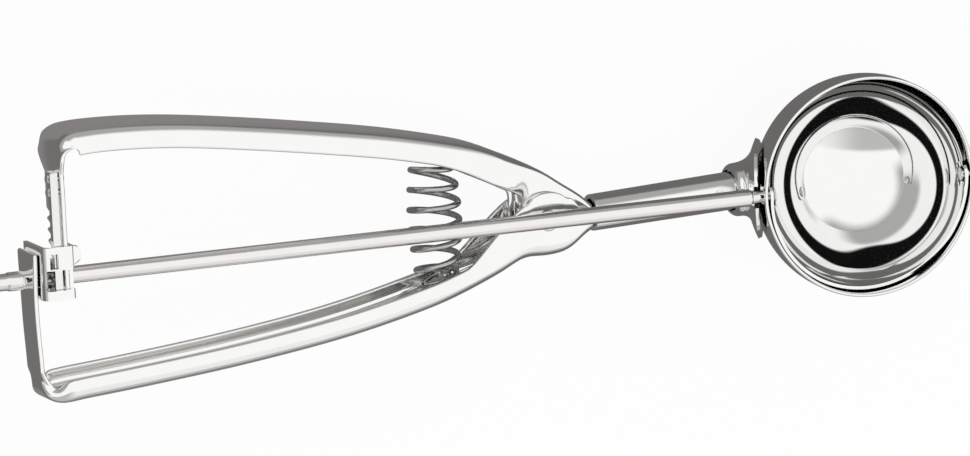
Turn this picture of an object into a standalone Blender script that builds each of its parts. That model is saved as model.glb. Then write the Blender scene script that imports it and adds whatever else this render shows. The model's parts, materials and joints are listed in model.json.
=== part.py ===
"""Ice cream scoop with a squeeze handle, modelled piece by piece in metres.

The rod's rear end is at the origin, +X runs along the rod to the bowl, +Y points
to the moving handle and +Z out of the bowl's mouth. Two pressed channel handles
turn on a rivet through the neck's tang. Squeezing them moves a rack past a
pinion on the rod, and the rod sweeps a scraper round the inside of the bowl.
"""

import bisect
import math

import bmesh
import bpy
from mathutils import Matrix, Vector

# Fits
GAP = 0.0003
RUNNING_GAP = 0.0003

# Bowl
BOWL_RADIUS = 0.0250
BOWL_WALL = 0.0008
RIM_HEIGHT = 0.0030
BOWL_SET = 0.0030

# Rod and rack drive
ROD_RADIUS = 0.0019
ROD_STUB = 0.0107
ROD_TIP_RADIUS = 0.0014
ROD_TIP_LENGTH = 0.0026
STAKE_RADIUS = 0.0021
STAKE_LENGTH = 0.0030
STAKE_SETBACK = 0.0012
ROD_CHAMFER = 0.0004
TIP_HEAD_RADIUS = 0.0020
TIP_HEAD = 0.0005
TOOTH_MODULE = 0.0008
PINION_TEETH = 9
PRESSURE_ANGLE = math.radians(25)
BACKLASH = 0.00034
PINION_WIDTH = 0.0031
WASHER_RADIUS = 0.0026
WASHER_THICKNESS = 0.0012
RACK_THICKNESS = 0.0018
RACK_OVERHANG = 0.0004
RACK_BACK = 0.0016
RACK_LENGTH = 0.0272
RACK_BELOW = 0.0031
RACK_GAPS = 8
RACK_RIVET_RADIUS = 0.0006
RACK_RIVET_SPACING = 0.0030
RACK_RIVET_INSET = 0.0016
RIVET_HEAD = 0.0005
RIVET_HEAD_RADIUS = 0.0011

# Bracket over the rack and pinion
BRACKET_SHEET = 0.0009
BRACKET_TOP = 0.0078
BRACKET_BOTTOM = 0.0039
BRACKET_FLOOR = 0.0042
WINDOW_TOP = 0.0025
WINDOW_BOTTOM = 0.0019
SLOT_TOP = 0.0066
SLOT_WIDTH = 0.0020
SLOT_STEP = 0.0008
WINDOW_BITE = 0.0004

# Handles
GRIP_LENGTH = 0.1222
HINGE_DROP = 0.0098
HINGE_OFFSET = -0.0009
SHEET = 0.0011
CHANNEL_WIDTH = 0.0150
CHANNEL_CORNER = 0.0024
EAR_CORNER = 0.0015
FLANGE_DEPTH = 0.0045
UPPER_CREST = 0.0340
UPPER_CROWN = 0.0105
LOWER_HEEL = 0.0264
LOWER_CROWN = 0.0074
EAR_RADIUS = 0.0058
INNER_EAR_RADIUS = 0.0052
EAR_RAMP = 0.0200
INNER_EAR_RAMP = 0.0100
NOSE_DEPTH = 0.0020
TONGUE_WIDTH = 0.0088
TONGUE_WAIST = 0.0074
TONGUE_TOP = 0.0072
STRIP_WIDTH = 0.0028
STRIP_END = 0.0010
LEG_CORNER = 0.0005
LEG_LIP = 0.0008
LEAST_FLANGE = 0.0002
LEG_WIDENS = 0.0180
LEG_FLARE = 0.0160
HEEL_LEAD = 0.0040
HEEL_FOLD = 0.0055
HEEL_DEEPEN = 0.0075
HEEL_ROUND = 0.0045
RACK_EASE = 0.0040
GRIP_SAG = 0.0065
NOSE_REACH = 0.0114
TONGUE_CORNER = 0.0006
TONGUE_LIP = 0.0014
LOWER_TAPER = 0.0310
UPPER_TAPER = 0.0270
TAPER_LENGTH = 0.0220

# Hinge
TANG_THICKNESS = 0.0050
TANG_HEIGHT = 0.0063
TANG_DEPTH = 0.0050
TANG_REAR = 0.0045
TANG_TOP_END = 0.0008
TANG_FOOT_END = 0.0036
TANG_WAIST_END = 0.0105
TANG_ROUND = 0.0008
PLUG_DEPTH = 0.0018
PLUG_RISE = 0.0006
PLUG_OVERLAP = 0.0005
HINGE_RIVET_RADIUS = 0.0016
HINGE_HEAD_RADIUS = 0.0029
HINGE_HEAD_THICKNESS = 0.0006

# Neck and saddle
NECK_START = 0.0125
NECK_LENGTH = 0.0335
NECK_REAR_RADIUS = 0.0041
NECK_FRONT_RADIUS = 0.0043
NECK_WALL = 0.0010
NECK_BORE_DEPTH = 0.0080
NECK_RISE = 0.0009
NECK_OFFSET = -0.0006
SADDLE_SHEET = 0.0010
SADDLE_SOCKET = 0.0012
SADDLE_SPREAD = math.radians(30)
SADDLE_TOP = math.radians(2)
SADDLE_FOOT = math.radians(-56)
SADDLE_BOW = 0.0055
SADDLE_SWELL = 0.62
NOTCH_REAR = 0.0060
NOTCH_FRONT = 0.0040

# Scraper
SCRAPER_WIDTH = 0.0070
SCRAPER_EAR = 0.0029
SCRAPER_SHEET = 0.0007
SCRAPER_CLEARANCE = 0.0004
SCRAPER_REST = math.radians(9)
PIVOT_RADIUS = 0.0010
PIVOT_HEAD_RADIUS = 0.0019
PIVOT_HEAD_THICKNESS = 0.0008
PEEN_RADIUS = 0.0017
PEEN = 0.0005

# Return spring
SPRING_FROM_HINGE = 0.0248
SPRING_WIRE = 0.0007
SPRING_END_RADIUS = 0.0038
SPRING_MIDDLE_RADIUS = 0.0055
SPRING_SHIFT = -0.0008
SPRING_TURNS = 8.25
SPRING_DEAD_TURNS = 0.8
SPRING_DEAD_PITCH = 0.0024
CURL_POINTS = 10
PEG_RADIUS = 0.0026
PEG_HEIGHT = 0.0030
PEG_CHAMFER = 0.0006
CUT_PAST = 0.0010
DRILL_PAST = 0.0040

# Places that follow from the sizes above
TILT = math.asin(HINGE_DROP / GRIP_LENGTH)
HINGE = Vector((ROD_STUB + GRIP_LENGTH * math.cos(TILT), HINGE_OFFSET, -HINGE_DROP))
NECK_REACH = NECK_START + NECK_LENGTH + BOWL_SET + BOWL_RADIUS
BOWL_CENTRE = Vector((HINGE.x + NECK_REACH, 0.0, 0.0))
PITCH_RADIUS = TOOTH_MODULE * PINION_TEETH / 2
TOOTH_PITCH = math.pi * TOOTH_MODULE
ADDENDUM = 0.8 * TOOTH_MODULE
DEDENDUM = 1.15 * TOOTH_MODULE
TO_HINGE = Matrix.Rotation(-TILT, 4, "Y") @ Matrix.Translation(-HINGE)
FROM_HINGE = Matrix.Translation(HINGE) @ Matrix.Rotation(TILT, 4, "Y")

STEEL = ("steel", (0.80, 0.80, 0.79), 0.12, 1.0)
SPRING_STEEL = ("spring_steel", (0.55, 0.55, 0.54), 0.22, 1.0)


def clear_scene():
    """Remove every object, so that the model starts from nothing."""
    for thing in list(bpy.data.objects):
        bpy.data.objects.remove(thing, do_unlink=True)


def make_collection(name):
    """Return a new collection linked to the scene."""
    group = bpy.data.collections.new(name)
    bpy.context.scene.collection.children.link(group)
    return group


def finish(thing, name, look):
    """Give an object a Principled material of its own."""
    label, colour, roughness, metallic = look
    material = bpy.data.materials.new(f"{name}_{label}")
    material.use_nodes = True
    shader = material.node_tree.nodes["Principled BSDF"]
    shader.inputs["Base Color"].default_value = (*colour, 1.0)
    shader.inputs["Roughness"].default_value = roughness
    shader.inputs["Metallic"].default_value = metallic
    thing.data.materials.clear()
    thing.data.materials.append(material)


def place(thing, group, parent=None):
    """Link an object to one collection and hang it on its parent."""
    for owner in list(thing.users_collection):
        owner.objects.unlink(thing)
    group.objects.link(thing)
    if parent is not None:
        thing.parent = parent


def mesh_object(name, build, group, parent=None, look=STEEL, smooth=True):
    """Make a mesh object whose shape a function adds to a bmesh."""
    shape = bmesh.new()
    build(shape)
    data = bpy.data.meshes.new(name)
    shape.to_mesh(data)
    shape.free()
    thing = bpy.data.objects.new(name, data)
    place(thing, group, parent)
    finish(thing, name, look)
    if smooth:
        data.shade_smooth()
        data.set_sharp_from_angle(angle=math.radians(35))
    return thing


def add_cylinder(shape, radius, start, end, segments=24, end_radius=None):
    """Add a capped cylinder or cone that runs between two points."""
    start, end = Vector(start), Vector(end)
    axis = end - start
    turn = axis.to_track_quat("Z", "Y").to_matrix().to_4x4()
    bmesh.ops.create_cone(
        shape,
        cap_ends=True,
        segments=segments,
        radius1=radius,
        radius2=radius if end_radius is None else end_radius,
        depth=axis.length,
        matrix=Matrix.Translation((start + end) / 2) @ turn,
    )


def add_box(shape, low, high):
    """Add a box between two opposite corners."""
    low, high = Vector(low), Vector(high)
    size = Matrix.Diagonal((*(high - low), 1.0))
    bmesh.ops.create_cube(shape, size=1.0, matrix=Matrix.Translation((low + high) / 2) @ size)


def cutter(name, build, cutters, parent=None):
    """Make a hidden object that only shapes another one."""
    thing = mesh_object(name, build, cutters, parent, smooth=False)
    thing.hide_render = True
    thing.display_type = "WIRE"
    return thing


def combine(thing, other, operation):
    """Cut a cutter from an object, or join it on, with an exact Boolean."""
    step = thing.modifiers.new(f"{operation.lower()}_{other.name}", "BOOLEAN")
    step.operation = operation
    step.object = other
    step.solver = "EXACT"


def drill(thing, name, radius, start, end, cutters, segments=24):
    """Drill a round hole between two points of the object's own frame."""
    tool = cutter(
        name,
        lambda shape: add_cylinder(shape, radius, start, end, segments),
        cutters,
        thing.parent,
    )
    combine(thing, tool, "DIFFERENCE")


def extrude_outline(name, outline, low, high, group, parent=None, look=STEEL):
    """Fill a flat outline and extrude it along the local Z axis."""
    curve = bpy.data.curves.new(name, "CURVE")
    curve.dimensions = "2D"
    curve.fill_mode = "BOTH"
    curve.extrude = (high - low) / 2
    spline = curve.splines.new("POLY")
    spline.points.add(len(outline) - 1)
    for point, (x, y) in zip(spline.points, outline):
        point.co = (x, y, 0.0, 1.0)
    spline.use_cyclic_u = True
    guide = bpy.data.objects.new(f"{name}_outline", curve)
    group.objects.link(guide)
    guide.location.z = (high + low) / 2
    bpy.context.view_layer.update()
    thing = curve_to_mesh(guide, name, group, parent, look)
    return thing


def curve_to_mesh(guide, name, group, parent, look):
    """Turn a curve object into a closed mesh object with welded caps."""
    graph = bpy.context.evaluated_depsgraph_get()
    data = bpy.data.meshes.new_from_object(guide.evaluated_get(graph))
    data.name = name
    data.transform(guide.matrix_world)
    shape = bmesh.new()
    shape.from_mesh(data)
    bmesh.ops.remove_doubles(shape, verts=shape.verts, dist=1e-6)
    bmesh.ops.recalc_face_normals(shape, faces=shape.faces)
    shape.to_mesh(data)
    shape.free()
    bpy.data.objects.remove(guide)
    thing = bpy.data.objects.new(name, data)
    place(thing, group, parent)
    finish(thing, name, look)
    data.shade_smooth()
    data.set_sharp_from_angle(angle=math.radians(35))
    return thing


def ease(value):
    """Return a smooth 0 to 1 ramp of a value that may lie outside it."""
    value = min(max(value, 0.0), 1.0)
    return value * value * (3.0 - 2.0 * value)


def through(points, per_segment):
    """Return a smooth curve through 2-D points, as centripetal spans."""
    knots = [Vector(p) for p in points]
    ends = [2 * knots[0] - knots[1], *knots, 2 * knots[-1] - knots[-2]]
    curve = []
    for a, b, c, d in zip(ends, ends[1:], ends[2:], ends[3:]):
        t1 = math.sqrt((b - a).length)
        t2 = t1 + math.sqrt((c - b).length)
        t3 = t2 + math.sqrt((d - c).length)
        for step in range(per_segment):
            t = t1 + (t2 - t1) * step / per_segment
            ab = a.lerp(b, t / t1)
            bc = b.lerp(c, (t - t1) / (t2 - t1))
            cd = c.lerp(d, (t - t2) / (t3 - t2))
            abc = ab.lerp(bc, t / t2)
            bcd = bc.lerp(cd, (t - t1) / (t3 - t1))
            curve.append(abc.lerp(bcd, (t - t1) / (t2 - t1)))
    return [*curve, knots[-1]]


class HandlePath:
    """The outer line of a handle's web, from its turned end to its nose."""

    def __init__(self, points, side, per_segment=4):
        """Sample the line; side is +1 where the web lies above the hinge."""
        self.points = through(points, per_segment)
        self.side = side
        self.run = [0.0]
        for a, b in zip(self.points, self.points[1:]):
            self.run.append(self.run[-1] + (b - a).length)
        self.foot = min(range(len(self.points)), key=lambda i: self.points[i].length)
        self.foot_run = self.run[self.foot]
        self.crown = self.points[self.foot].length

    def inward(self, index):
        """Return the unit vector from the web into the channel."""
        before = self.points[max(index - 1, 0)]
        after = self.points[min(index + 1, len(self.points) - 1)]
        along = (after - before).normalized()
        return Vector((along.y, -along.x)) * self.side

    def at(self, x):
        """Return the web point of the grip at a distance behind the hinge."""
        grip = [p for p in self.points if p.y * self.side > 0 and p.x > -0.85 * GRIP_LENGTH]
        place_in = bisect.bisect([p.x for p in grip], x)
        a, b = grip[place_in - 1], grip[place_in]
        return a.lerp(b, (x - a.x) / (b.x - a.x))


def ear_depth(path, index, radius, ramp):
    """Return how far a flange reaches in, with its round ear at the hinge."""
    reach = path.run[index] - path.foot_run
    edge = 0.8 * radius
    held = max(-edge, min(edge, reach))
    ear = path.crown + math.sqrt(radius * radius - held * held)
    if reach < 0:
        share = ease((reach + ramp) / (ramp - edge))
        return FLANGE_DEPTH + (ear - FLANGE_DEPTH) * share
    nose = path.run[-1] - path.foot_run
    share = ease((nose - reach) / (nose - edge))
    return NOSE_DEPTH + (ear - NOSE_DEPTH) * share


def half_section(half, depth, corner, bend):
    """Return (z, depth) points from the web's middle line to a flange edge.

    The bend turns the sheet by the given angle over a fixed length of strip, so
    a bend of zero leaves the sheet flat with the same outer width.
    """
    strip = corner * math.pi / 2
    bend = max(bend, 0.02)
    radius = strip / bend
    flange = max(depth - corner, LEAST_FLANGE)
    flat = half - radius * math.sin(bend) - flange * math.cos(bend)
    points = []
    for step in range(4):
        angle = bend * step / 3
        points.append((flat + radius * math.sin(angle), radius * (1 - math.cos(angle))))
    z, deep = points[-1]
    points.append((z + flange * math.cos(bend), deep + flange * math.sin(bend)))
    return points


def channel(name, path, sections, group, parent):
    """Loft a handle's outer skin along its path and give it the sheet's thickness."""

    def build(shape):
        rows = []
        for index, point in enumerate(path.points):
            inward = path.inward(index)
            low, high, depth, corner, bend = sections(index)
            middle = (low + high) / 2
            half = (high - low) / 2
            profile = half_section(half, depth, corner, bend)
            ring = [(-z, d) for z, d in reversed(profile)] + [(0.0, 0.0)] + profile
            row = []
            for z, deep in ring:
                flat = point + inward * deep
                row.append(shape.verts.new((flat.x, flat.y, middle + z)))
            rows.append(row)
        for a, b in zip(rows, rows[1:]):
            for i in range(len(a) - 1):
                corners = (a[i], a[i + 1], b[i + 1], b[i])
                shape.faces.new(corners if path.side > 0 else tuple(reversed(corners)))

    thing = mesh_object(name, build, group, parent)
    shell = thing.modifiers.new("sheet", "SOLIDIFY")
    shell.thickness = SHEET
    shell.offset = -1.0
    shell.use_even_offset = True
    return thing


def lower_path():
    """Return the fixed handle's line: tongue, heel, grip, belly and nose."""
    back = -GRIP_LENGTH
    heel = -LOWER_HEEL
    crown = -LOWER_CROWN
    slope = (crown - heel) / (0.90 * GRIP_LENGTH)
    points = [
        (back, TONGUE_TOP),
        (back, 0.24 * heel),
        (back + 0.09 * HEEL_ROUND, 0.6 * heel),
        (back + 0.18 * HEEL_ROUND, heel + 1.02 * HEEL_ROUND),
        (back + 0.40 * HEEL_ROUND, heel + 0.31 * HEEL_ROUND),
        (back + HEEL_ROUND, heel),
        (back + 2.44 * HEEL_ROUND, heel + 0.07 * HEEL_ROUND),
    ]
    for share, sag in ((0.22, 0.51), (0.42, 0.84), (0.62, 1.0), (0.80, 0.86)):
        x = back * (1 - share)
        points.append((x, heel + slope * (x - back) - sag * GRIP_SAG))
    for reach, rise in ((-1.05, -0.26), (-0.44, 0.0), (0.04, -0.01), (0.46, 0.05), (0.88, 0.33), (1.0, 0.39)):
        points.append((reach * NOSE_REACH, crown + rise * NOSE_REACH))
    return HandlePath(points, -1)


def upper_path():
    """Return the moving handle's line: turned end, heel, grip and nose."""
    leg = RACK_PLACE.leg
    crest = UPPER_CREST
    points = [
        (leg, RACK_PLACE.low + STRIP_END),
        (leg, 0.35 * crest),
        (leg, 0.62 * crest),
        (leg, crest - 1.38 * HEEL_ROUND),
        (leg + 0.16 * HEEL_ROUND, crest - 0.53 * HEEL_ROUND),
        (leg + 0.58 * HEEL_ROUND, crest - 0.13 * HEEL_ROUND),
        (leg + 1.38 * HEEL_ROUND, crest),
    ]
    start = points[-1][0]
    fall = crest - UPPER_CROWN
    rear_drops = ((0.10, 0.008), (0.21, 0.055), (0.36, 0.16), (0.52, 0.29))
    front_drops = ((0.66, 0.41), (0.80, 0.545), (0.91, 0.762), (1.0, 0.99))
    for share, drop in rear_drops + front_drops:
        points.append((start * (1 - share), crest - fall * drop))
    for reach, drop in ((0.38, 0.25), (0.79, 0.54), (1.05, 0.78)):
        points.append((reach * NOSE_REACH, UPPER_CROWN - drop * NOSE_REACH))
    return HandlePath(points, 1)


class RackPlace:
    """Where the rack runs, worked out from the stack of pieces on the rod."""

    def __init__(self):
        """Stack tongue, bracket, pinion, washer and front plate along the rod."""
        self.tongue_inner = -GRIP_LENGTH + SHEET
        self.rear_plate = self.tongue_inner + GAP
        self.rear_inner = self.rear_plate + BRACKET_SHEET
        lean = (PITCH_RADIUS + ADDENDUM) * math.tan(TILT)
        cosine = math.cos(TILT)
        self.pinion_rear = HINGE.x + self.rear_inner * cosine + RUNNING_GAP + lean
        self.pinion_front = self.pinion_rear + PINION_WIDTH
        self.washer_rear = self.pinion_front + GAP
        self.washer_front = self.washer_rear + WASHER_THICKNESS
        front = TO_HINGE @ Vector((self.pinion_front, 0.0, PITCH_RADIUS))
        self.front = front.x + RACK_OVERHANG
        self.rear = self.front - RACK_THICKNESS
        self.leg = self.front + GAP
        self.front_inner = self.leg + SHEET + RUNNING_GAP
        self.contact = Vector(((self.rear + self.front) / 2, front.y, front.z))
        self.tip = self.contact.z - ADDENDUM
        self.back = self.contact.z + DEDENDUM + RACK_BACK
        self.low = self.contact.y - RACK_BELOW
        self.high = self.low + RACK_LENGTH
        self.reach = -self.contact.x


RACK_PLACE = RackPlace()


def make_fixed_handle(group, cutters, frame):
    """Make the fixed handle: pressed channel, tongue with the rod hole, two ears."""
    path = LOWER_PATH
    half = CHANNEL_WIDTH / 2
    ear_half = TANG_THICKNESS / 2 + 2 * (GAP + SHEET)
    tongue = TONGUE_TOP - (-LOWER_HEEL)

    def sections(index):
        run = path.run[index]
        bend = math.radians(90) * ease((run - tongue * 0.82) / (tongue * 0.20))
        narrow = TONGUE_WIDTH / 2 + (TONGUE_WAIST - TONGUE_WIDTH) / 2 * ease(run / (tongue * 0.37))
        widen = ease((run - tongue * 0.80) / (tongue * 0.36))
        width = narrow + (half - narrow) * widen
        reach = run - path.foot_run
        width += (ear_half - half) * ease((reach + LOWER_TAPER) / TAPER_LENGTH)
        corner = TONGUE_CORNER + (CHANNEL_CORNER - TONGUE_CORNER) * widen
        shallow = TONGUE_LIP + (ear_depth(path, index, EAR_RADIUS, EAR_RAMP) - TONGUE_LIP) * widen
        return -width, width, shallow, corner, bend

    thing = channel("fixed_handle", path, sections, group, frame)
    reach = ear_half + 2 * SHEET
    drill(thing, "fixed_hinge_hole", HINGE_RIVET_RADIUS + GAP, (0, 0, -reach), (0, 0, reach), cutters)
    rod_hole(thing, "tongue_rod_hole", RUNNING_GAP, -DRILL_PAST, DRILL_PAST, cutters)
    return thing


def rod_hole(thing, name, clearance, before, after, cutters, radius=ROD_RADIUS):
    """Cut a hole on the rod's own axis through a piece near the tongue."""
    centre = TO_HINGE @ Vector((ROD_STUB, 0.0, 0.0))
    along = (TO_HINGE.to_3x3() @ Vector((1.0, 0.0, 0.0))).normalized()
    drill(thing, name, radius + clearance, centre + along * before, centre + along * after, cutters)


def make_squeeze_handle(group, cutters, lever):
    """Make the moving handle: its end turned down to carry the rack."""
    path = UPPER_PATH
    half = CHANNEL_WIDTH / 2
    ear_half = TANG_THICKNESS / 2 + GAP + SHEET
    spot = RACK_PLACE
    strip_low = spot.back - STRIP_WIDTH
    turned = UPPER_CREST - path.points[0].y
    rack_end = spot.high - path.points[0].y

    def sections(index):
        run = path.run[index]
        heel = run - turned
        leg = ease((heel + LEG_WIDENS) / LEG_FLARE)
        low = strip_low - (strip_low + half) * leg
        high = spot.back + (half - spot.back) * ease((run - rack_end) / RACK_EASE + 0.25)
        reach = run - path.foot_run
        narrowed = ease((reach + UPPER_TAPER) / TAPER_LENGTH)
        taper = (ear_half - half) * narrowed
        bend = math.radians(90) * ease((heel + HEEL_LEAD) / HEEL_FOLD)
        grown = ease((heel + HEEL_LEAD) / HEEL_DEEPEN)
        corner = LEG_CORNER + (CHANNEL_CORNER - LEG_CORNER) * grown
        corner += (EAR_CORNER - CHANNEL_CORNER) * narrowed
        ear = ear_depth(path, index, INNER_EAR_RADIUS, INNER_EAR_RAMP)
        depth = LEG_LIP + (ear - LEG_LIP) * grown
        return low - taper, high + taper, depth, corner, bend

    thing = channel("squeeze_handle", path, sections, group, lever)
    reach = ear_half + 2 * SHEET
    clear = HINGE_RIVET_RADIUS + RUNNING_GAP
    drill(thing, "squeeze_hinge_hole", clear, (0, 0, -reach), (0, 0, reach), cutters)
    for number, place_on in enumerate(rack_rivet_places()):
        rear, front = rivet_line(place_on, RACK_THICKNESS, RACK_THICKNESS)
        drill(thing, f"rack_rivet_hole_{number}", RACK_RIVET_RADIUS + GAP, rear, front, cutters, 16)
    return thing


def rack_rivet_places():
    """Return the heights of the two rivets that hold the rack, upper one first."""
    first = RACK_PLACE.high - RACK_RIVET_INSET
    return (first, first - RACK_RIVET_SPACING)


def rivet_line(height, behind, before):
    """Return two points on a rivet's axis, past the rack's rear and the strip's front."""
    spot = RACK_PLACE
    middle = (spot.tip + spot.back) / 2
    return (
        Vector((spot.rear - behind, height, middle)),
        Vector((spot.leg + SHEET + before, height, middle)),
    )


def make_rack(group, cutters, lever):
    """Make the toothed rack, a straight bar riveted behind the handle's strip."""
    spot = RACK_PLACE
    low = (spot.rear, spot.low, spot.tip)
    high = (spot.front, spot.high, spot.back)
    thing = mesh_object("rack", lambda shape: add_box(shape, low, high), group, lever, smooth=False)
    teeth = cutter("rack_tooth_gaps", add_rack_gaps, cutters, lever)
    combine(thing, teeth, "DIFFERENCE")
    for number, height in enumerate(rack_rivet_places()):
        rear, front = rivet_line(height, RACK_THICKNESS, RACK_THICKNESS)
        drill(thing, f"rack_bore_{number}", RACK_RIVET_RADIUS + GAP, rear, front, cutters, 16)
    return thing


def add_rack_gaps(shape):
    """Add one wedge for each gap between teeth, a tooth pitch apart up the rack."""
    spot = RACK_PLACE
    slope = math.tan(PRESSURE_ANGLE)
    at_pitch = TOOTH_PITCH / 4 + BACKLASH / 2
    over = ADDENDUM + RACK_EASE / 20
    outline = (
        (at_pitch + over * slope, -over),
        (at_pitch - DEDENDUM * slope, DEDENDUM),
        (-at_pitch + DEDENDUM * slope, DEDENDUM),
        (-at_pitch - over * slope, -over),
    )
    along = (TO_HINGE.to_3x3() @ Vector((1.0, 0.0, 0.0))).normalized()
    up = (TO_HINGE.to_3x3() @ Vector((0.0, 0.0, 1.0))).normalized()
    for number in range(RACK_GAPS):
        middle = spot.contact + Vector((0.0, (number - 1) * TOOTH_PITCH, 0.0))
        ends = []
        for reach in (-RACK_THICKNESS, RACK_THICKNESS):
            ring = []
            for y, z in outline:
                ring.append(shape.verts.new(middle + Vector((0, y, 0)) + up * z + along * reach))
            ends.append(ring)
        rear, front = ends
        for i in range(4):
            j = (i + 1) % 4
            shape.faces.new((rear[i], rear[j], front[j], front[i]))
        shape.faces.new(tuple(reversed(rear)))
        shape.faces.new(front)
    bmesh.ops.recalc_face_normals(shape, faces=shape.faces)


def make_rack_rivets(group, lever):
    """Make the two small rivets that hold the rack to the moving handle."""
    for name, height in zip(("rack_rivet_upper", "rack_rivet_lower"), rack_rivet_places()):
        under_rear, under_front = rivet_line(height, GAP, GAP)
        rear, front = rivet_line(height, GAP + RIVET_HEAD, GAP + RIVET_HEAD)
        rings = [
            (rear, RACK_RIVET_RADIUS),
            (under_rear, RIVET_HEAD_RADIUS),
            (under_rear, RACK_RIVET_RADIUS),
            (under_front, RACK_RIVET_RADIUS),
            (under_front, RIVET_HEAD_RADIUS),
            (front, RACK_RIVET_RADIUS),
        ]
        along = (front - rear).normalized()
        mesh_object(name, lambda shape: add_turned(shape, rings, along, 16), group, lever)


def add_turned(shape, rings, axis, segments):
    """Add a closed turned piece from (centre, radius) rings along one axis."""
    turn = axis.to_track_quat("Z", "Y").to_matrix()
    rows = []
    for centre, radius in rings:
        row = []
        for step in range(segments):
            angle = 2 * math.pi * step / segments
            offset = turn @ Vector((math.cos(angle), math.sin(angle), 0.0)) * radius
            row.append(shape.verts.new(Vector(centre) + offset))
        rows.append(row)
    faces = []
    for a, b in zip(rows, rows[1:]):
        for i in range(segments):
            j = (i + 1) % segments
            faces.append(shape.faces.new((a[i], a[j], b[j], b[i])))
    faces.append(shape.faces.new(tuple(reversed(rows[0]))))
    faces.append(shape.faces.new(rows[-1]))
    return faces


def pinion_outline():
    """Return the pinion's outline: involute flanks between root and tip circles."""
    base = PITCH_RADIUS * math.cos(PRESSURE_ANGLE)
    tip = PITCH_RADIUS + ADDENDUM
    root = PITCH_RADIUS - DEDENDUM
    half_tooth = (TOOTH_PITCH / 2 - BACKLASH / 2) / PITCH_RADIUS / 2

    def involute(radius):
        if radius <= base:
            return 0.0
        roll = math.acos(base / radius)
        return math.tan(roll) - roll

    half_at_base = half_tooth + involute(PITCH_RADIUS)
    flank = [root, base * 0.985, base + (tip - base) / 3, base + 2 * (tip - base) / 3, tip]
    outline = []
    for tooth in range(PINION_TEETH):
        middle = math.pi / 2 + 2 * math.pi * tooth / PINION_TEETH
        for radius in flank:
            outline.append((radius, middle - half_at_base + involute(radius)))
        for radius in reversed(flank):
            outline.append((radius, middle + half_at_base - involute(radius)))
    return [(r * math.cos(a), r * math.sin(a)) for r, a in outline]


def make_pinion(group, cutters, shaft):
    """Make the pinion, bored for the rod, with one tooth square to the rack."""
    spot = RACK_PLACE
    thing = extrude_outline("pinion", pinion_outline(), 0.0, PINION_WIDTH, group, shaft)
    stand_up = Matrix(((0, 0, 1, 0), (1, 0, 0, 0), (0, 1, 0, 0), (0, 0, 0, 1)))
    thing.data.transform(Matrix.Translation((spot.pinion_rear, 0, 0)) @ stand_up)
    drill(
        thing,
        "pinion_bore",
        ROD_RADIUS + GAP,
        (spot.pinion_rear - CUT_PAST, 0, 0),
        (spot.pinion_front + CUT_PAST, 0, 0),
        cutters,
        32,
    )
    return thing


def make_thrust_washer(group, cutters, shaft):
    """Make the washer between the pinion and the bracket's front plate."""
    spot = RACK_PLACE
    start, end = (spot.washer_rear, 0, 0), (spot.washer_front, 0, 0)
    thing = mesh_object(
        "thrust_washer", lambda s: add_cylinder(s, WASHER_RADIUS, start, end, 32), group, shaft
    )
    before = (spot.washer_rear - CUT_PAST, 0, 0)
    after = (spot.washer_front + CUT_PAST, 0, 0)
    drill(thing, "washer_bore", ROD_RADIUS + GAP, before, after, cutters, 32)
    return thing


def make_drive_rod(group, shaft):
    """Make the rod: staked stub, long shank and reduced tip inside the bowl."""
    shoulder = BOWL_CENTRE.x - BOWL_RADIUS - ROD_TIP_LENGTH
    inside = BOWL_CENTRE.x - BOWL_RADIUS + BOWL_WALL + SCRAPER_CLEARANCE + SCRAPER_SHEET
    stake_end = ROD_STUB - STAKE_SETBACK
    stake_start = stake_end - STAKE_LENGTH
    chamfer = ROD_CHAMFER
    stations = [
        (0.0, ROD_RADIUS - chamfer),
        (chamfer, ROD_RADIUS),
        (stake_start - chamfer, ROD_RADIUS),
        (stake_start, STAKE_RADIUS),
        (stake_end, STAKE_RADIUS),
        (stake_end + chamfer, ROD_RADIUS),
        (shoulder - chamfer, ROD_RADIUS),
        (shoulder, ROD_TIP_RADIUS),
        (inside + GAP, ROD_TIP_RADIUS),
        (inside + GAP, TIP_HEAD_RADIUS),
        (inside + GAP + TIP_HEAD, 0.8 * TIP_HEAD_RADIUS),
    ]

    def build(shape):
        rings = [(Vector((x, 0.0, 0.0)), radius) for x, radius in stations]
        add_turned(shape, rings, Vector((1.0, 0.0, 0.0)), 32)

    return mesh_object("drive_rod", build, group, shaft)


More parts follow.
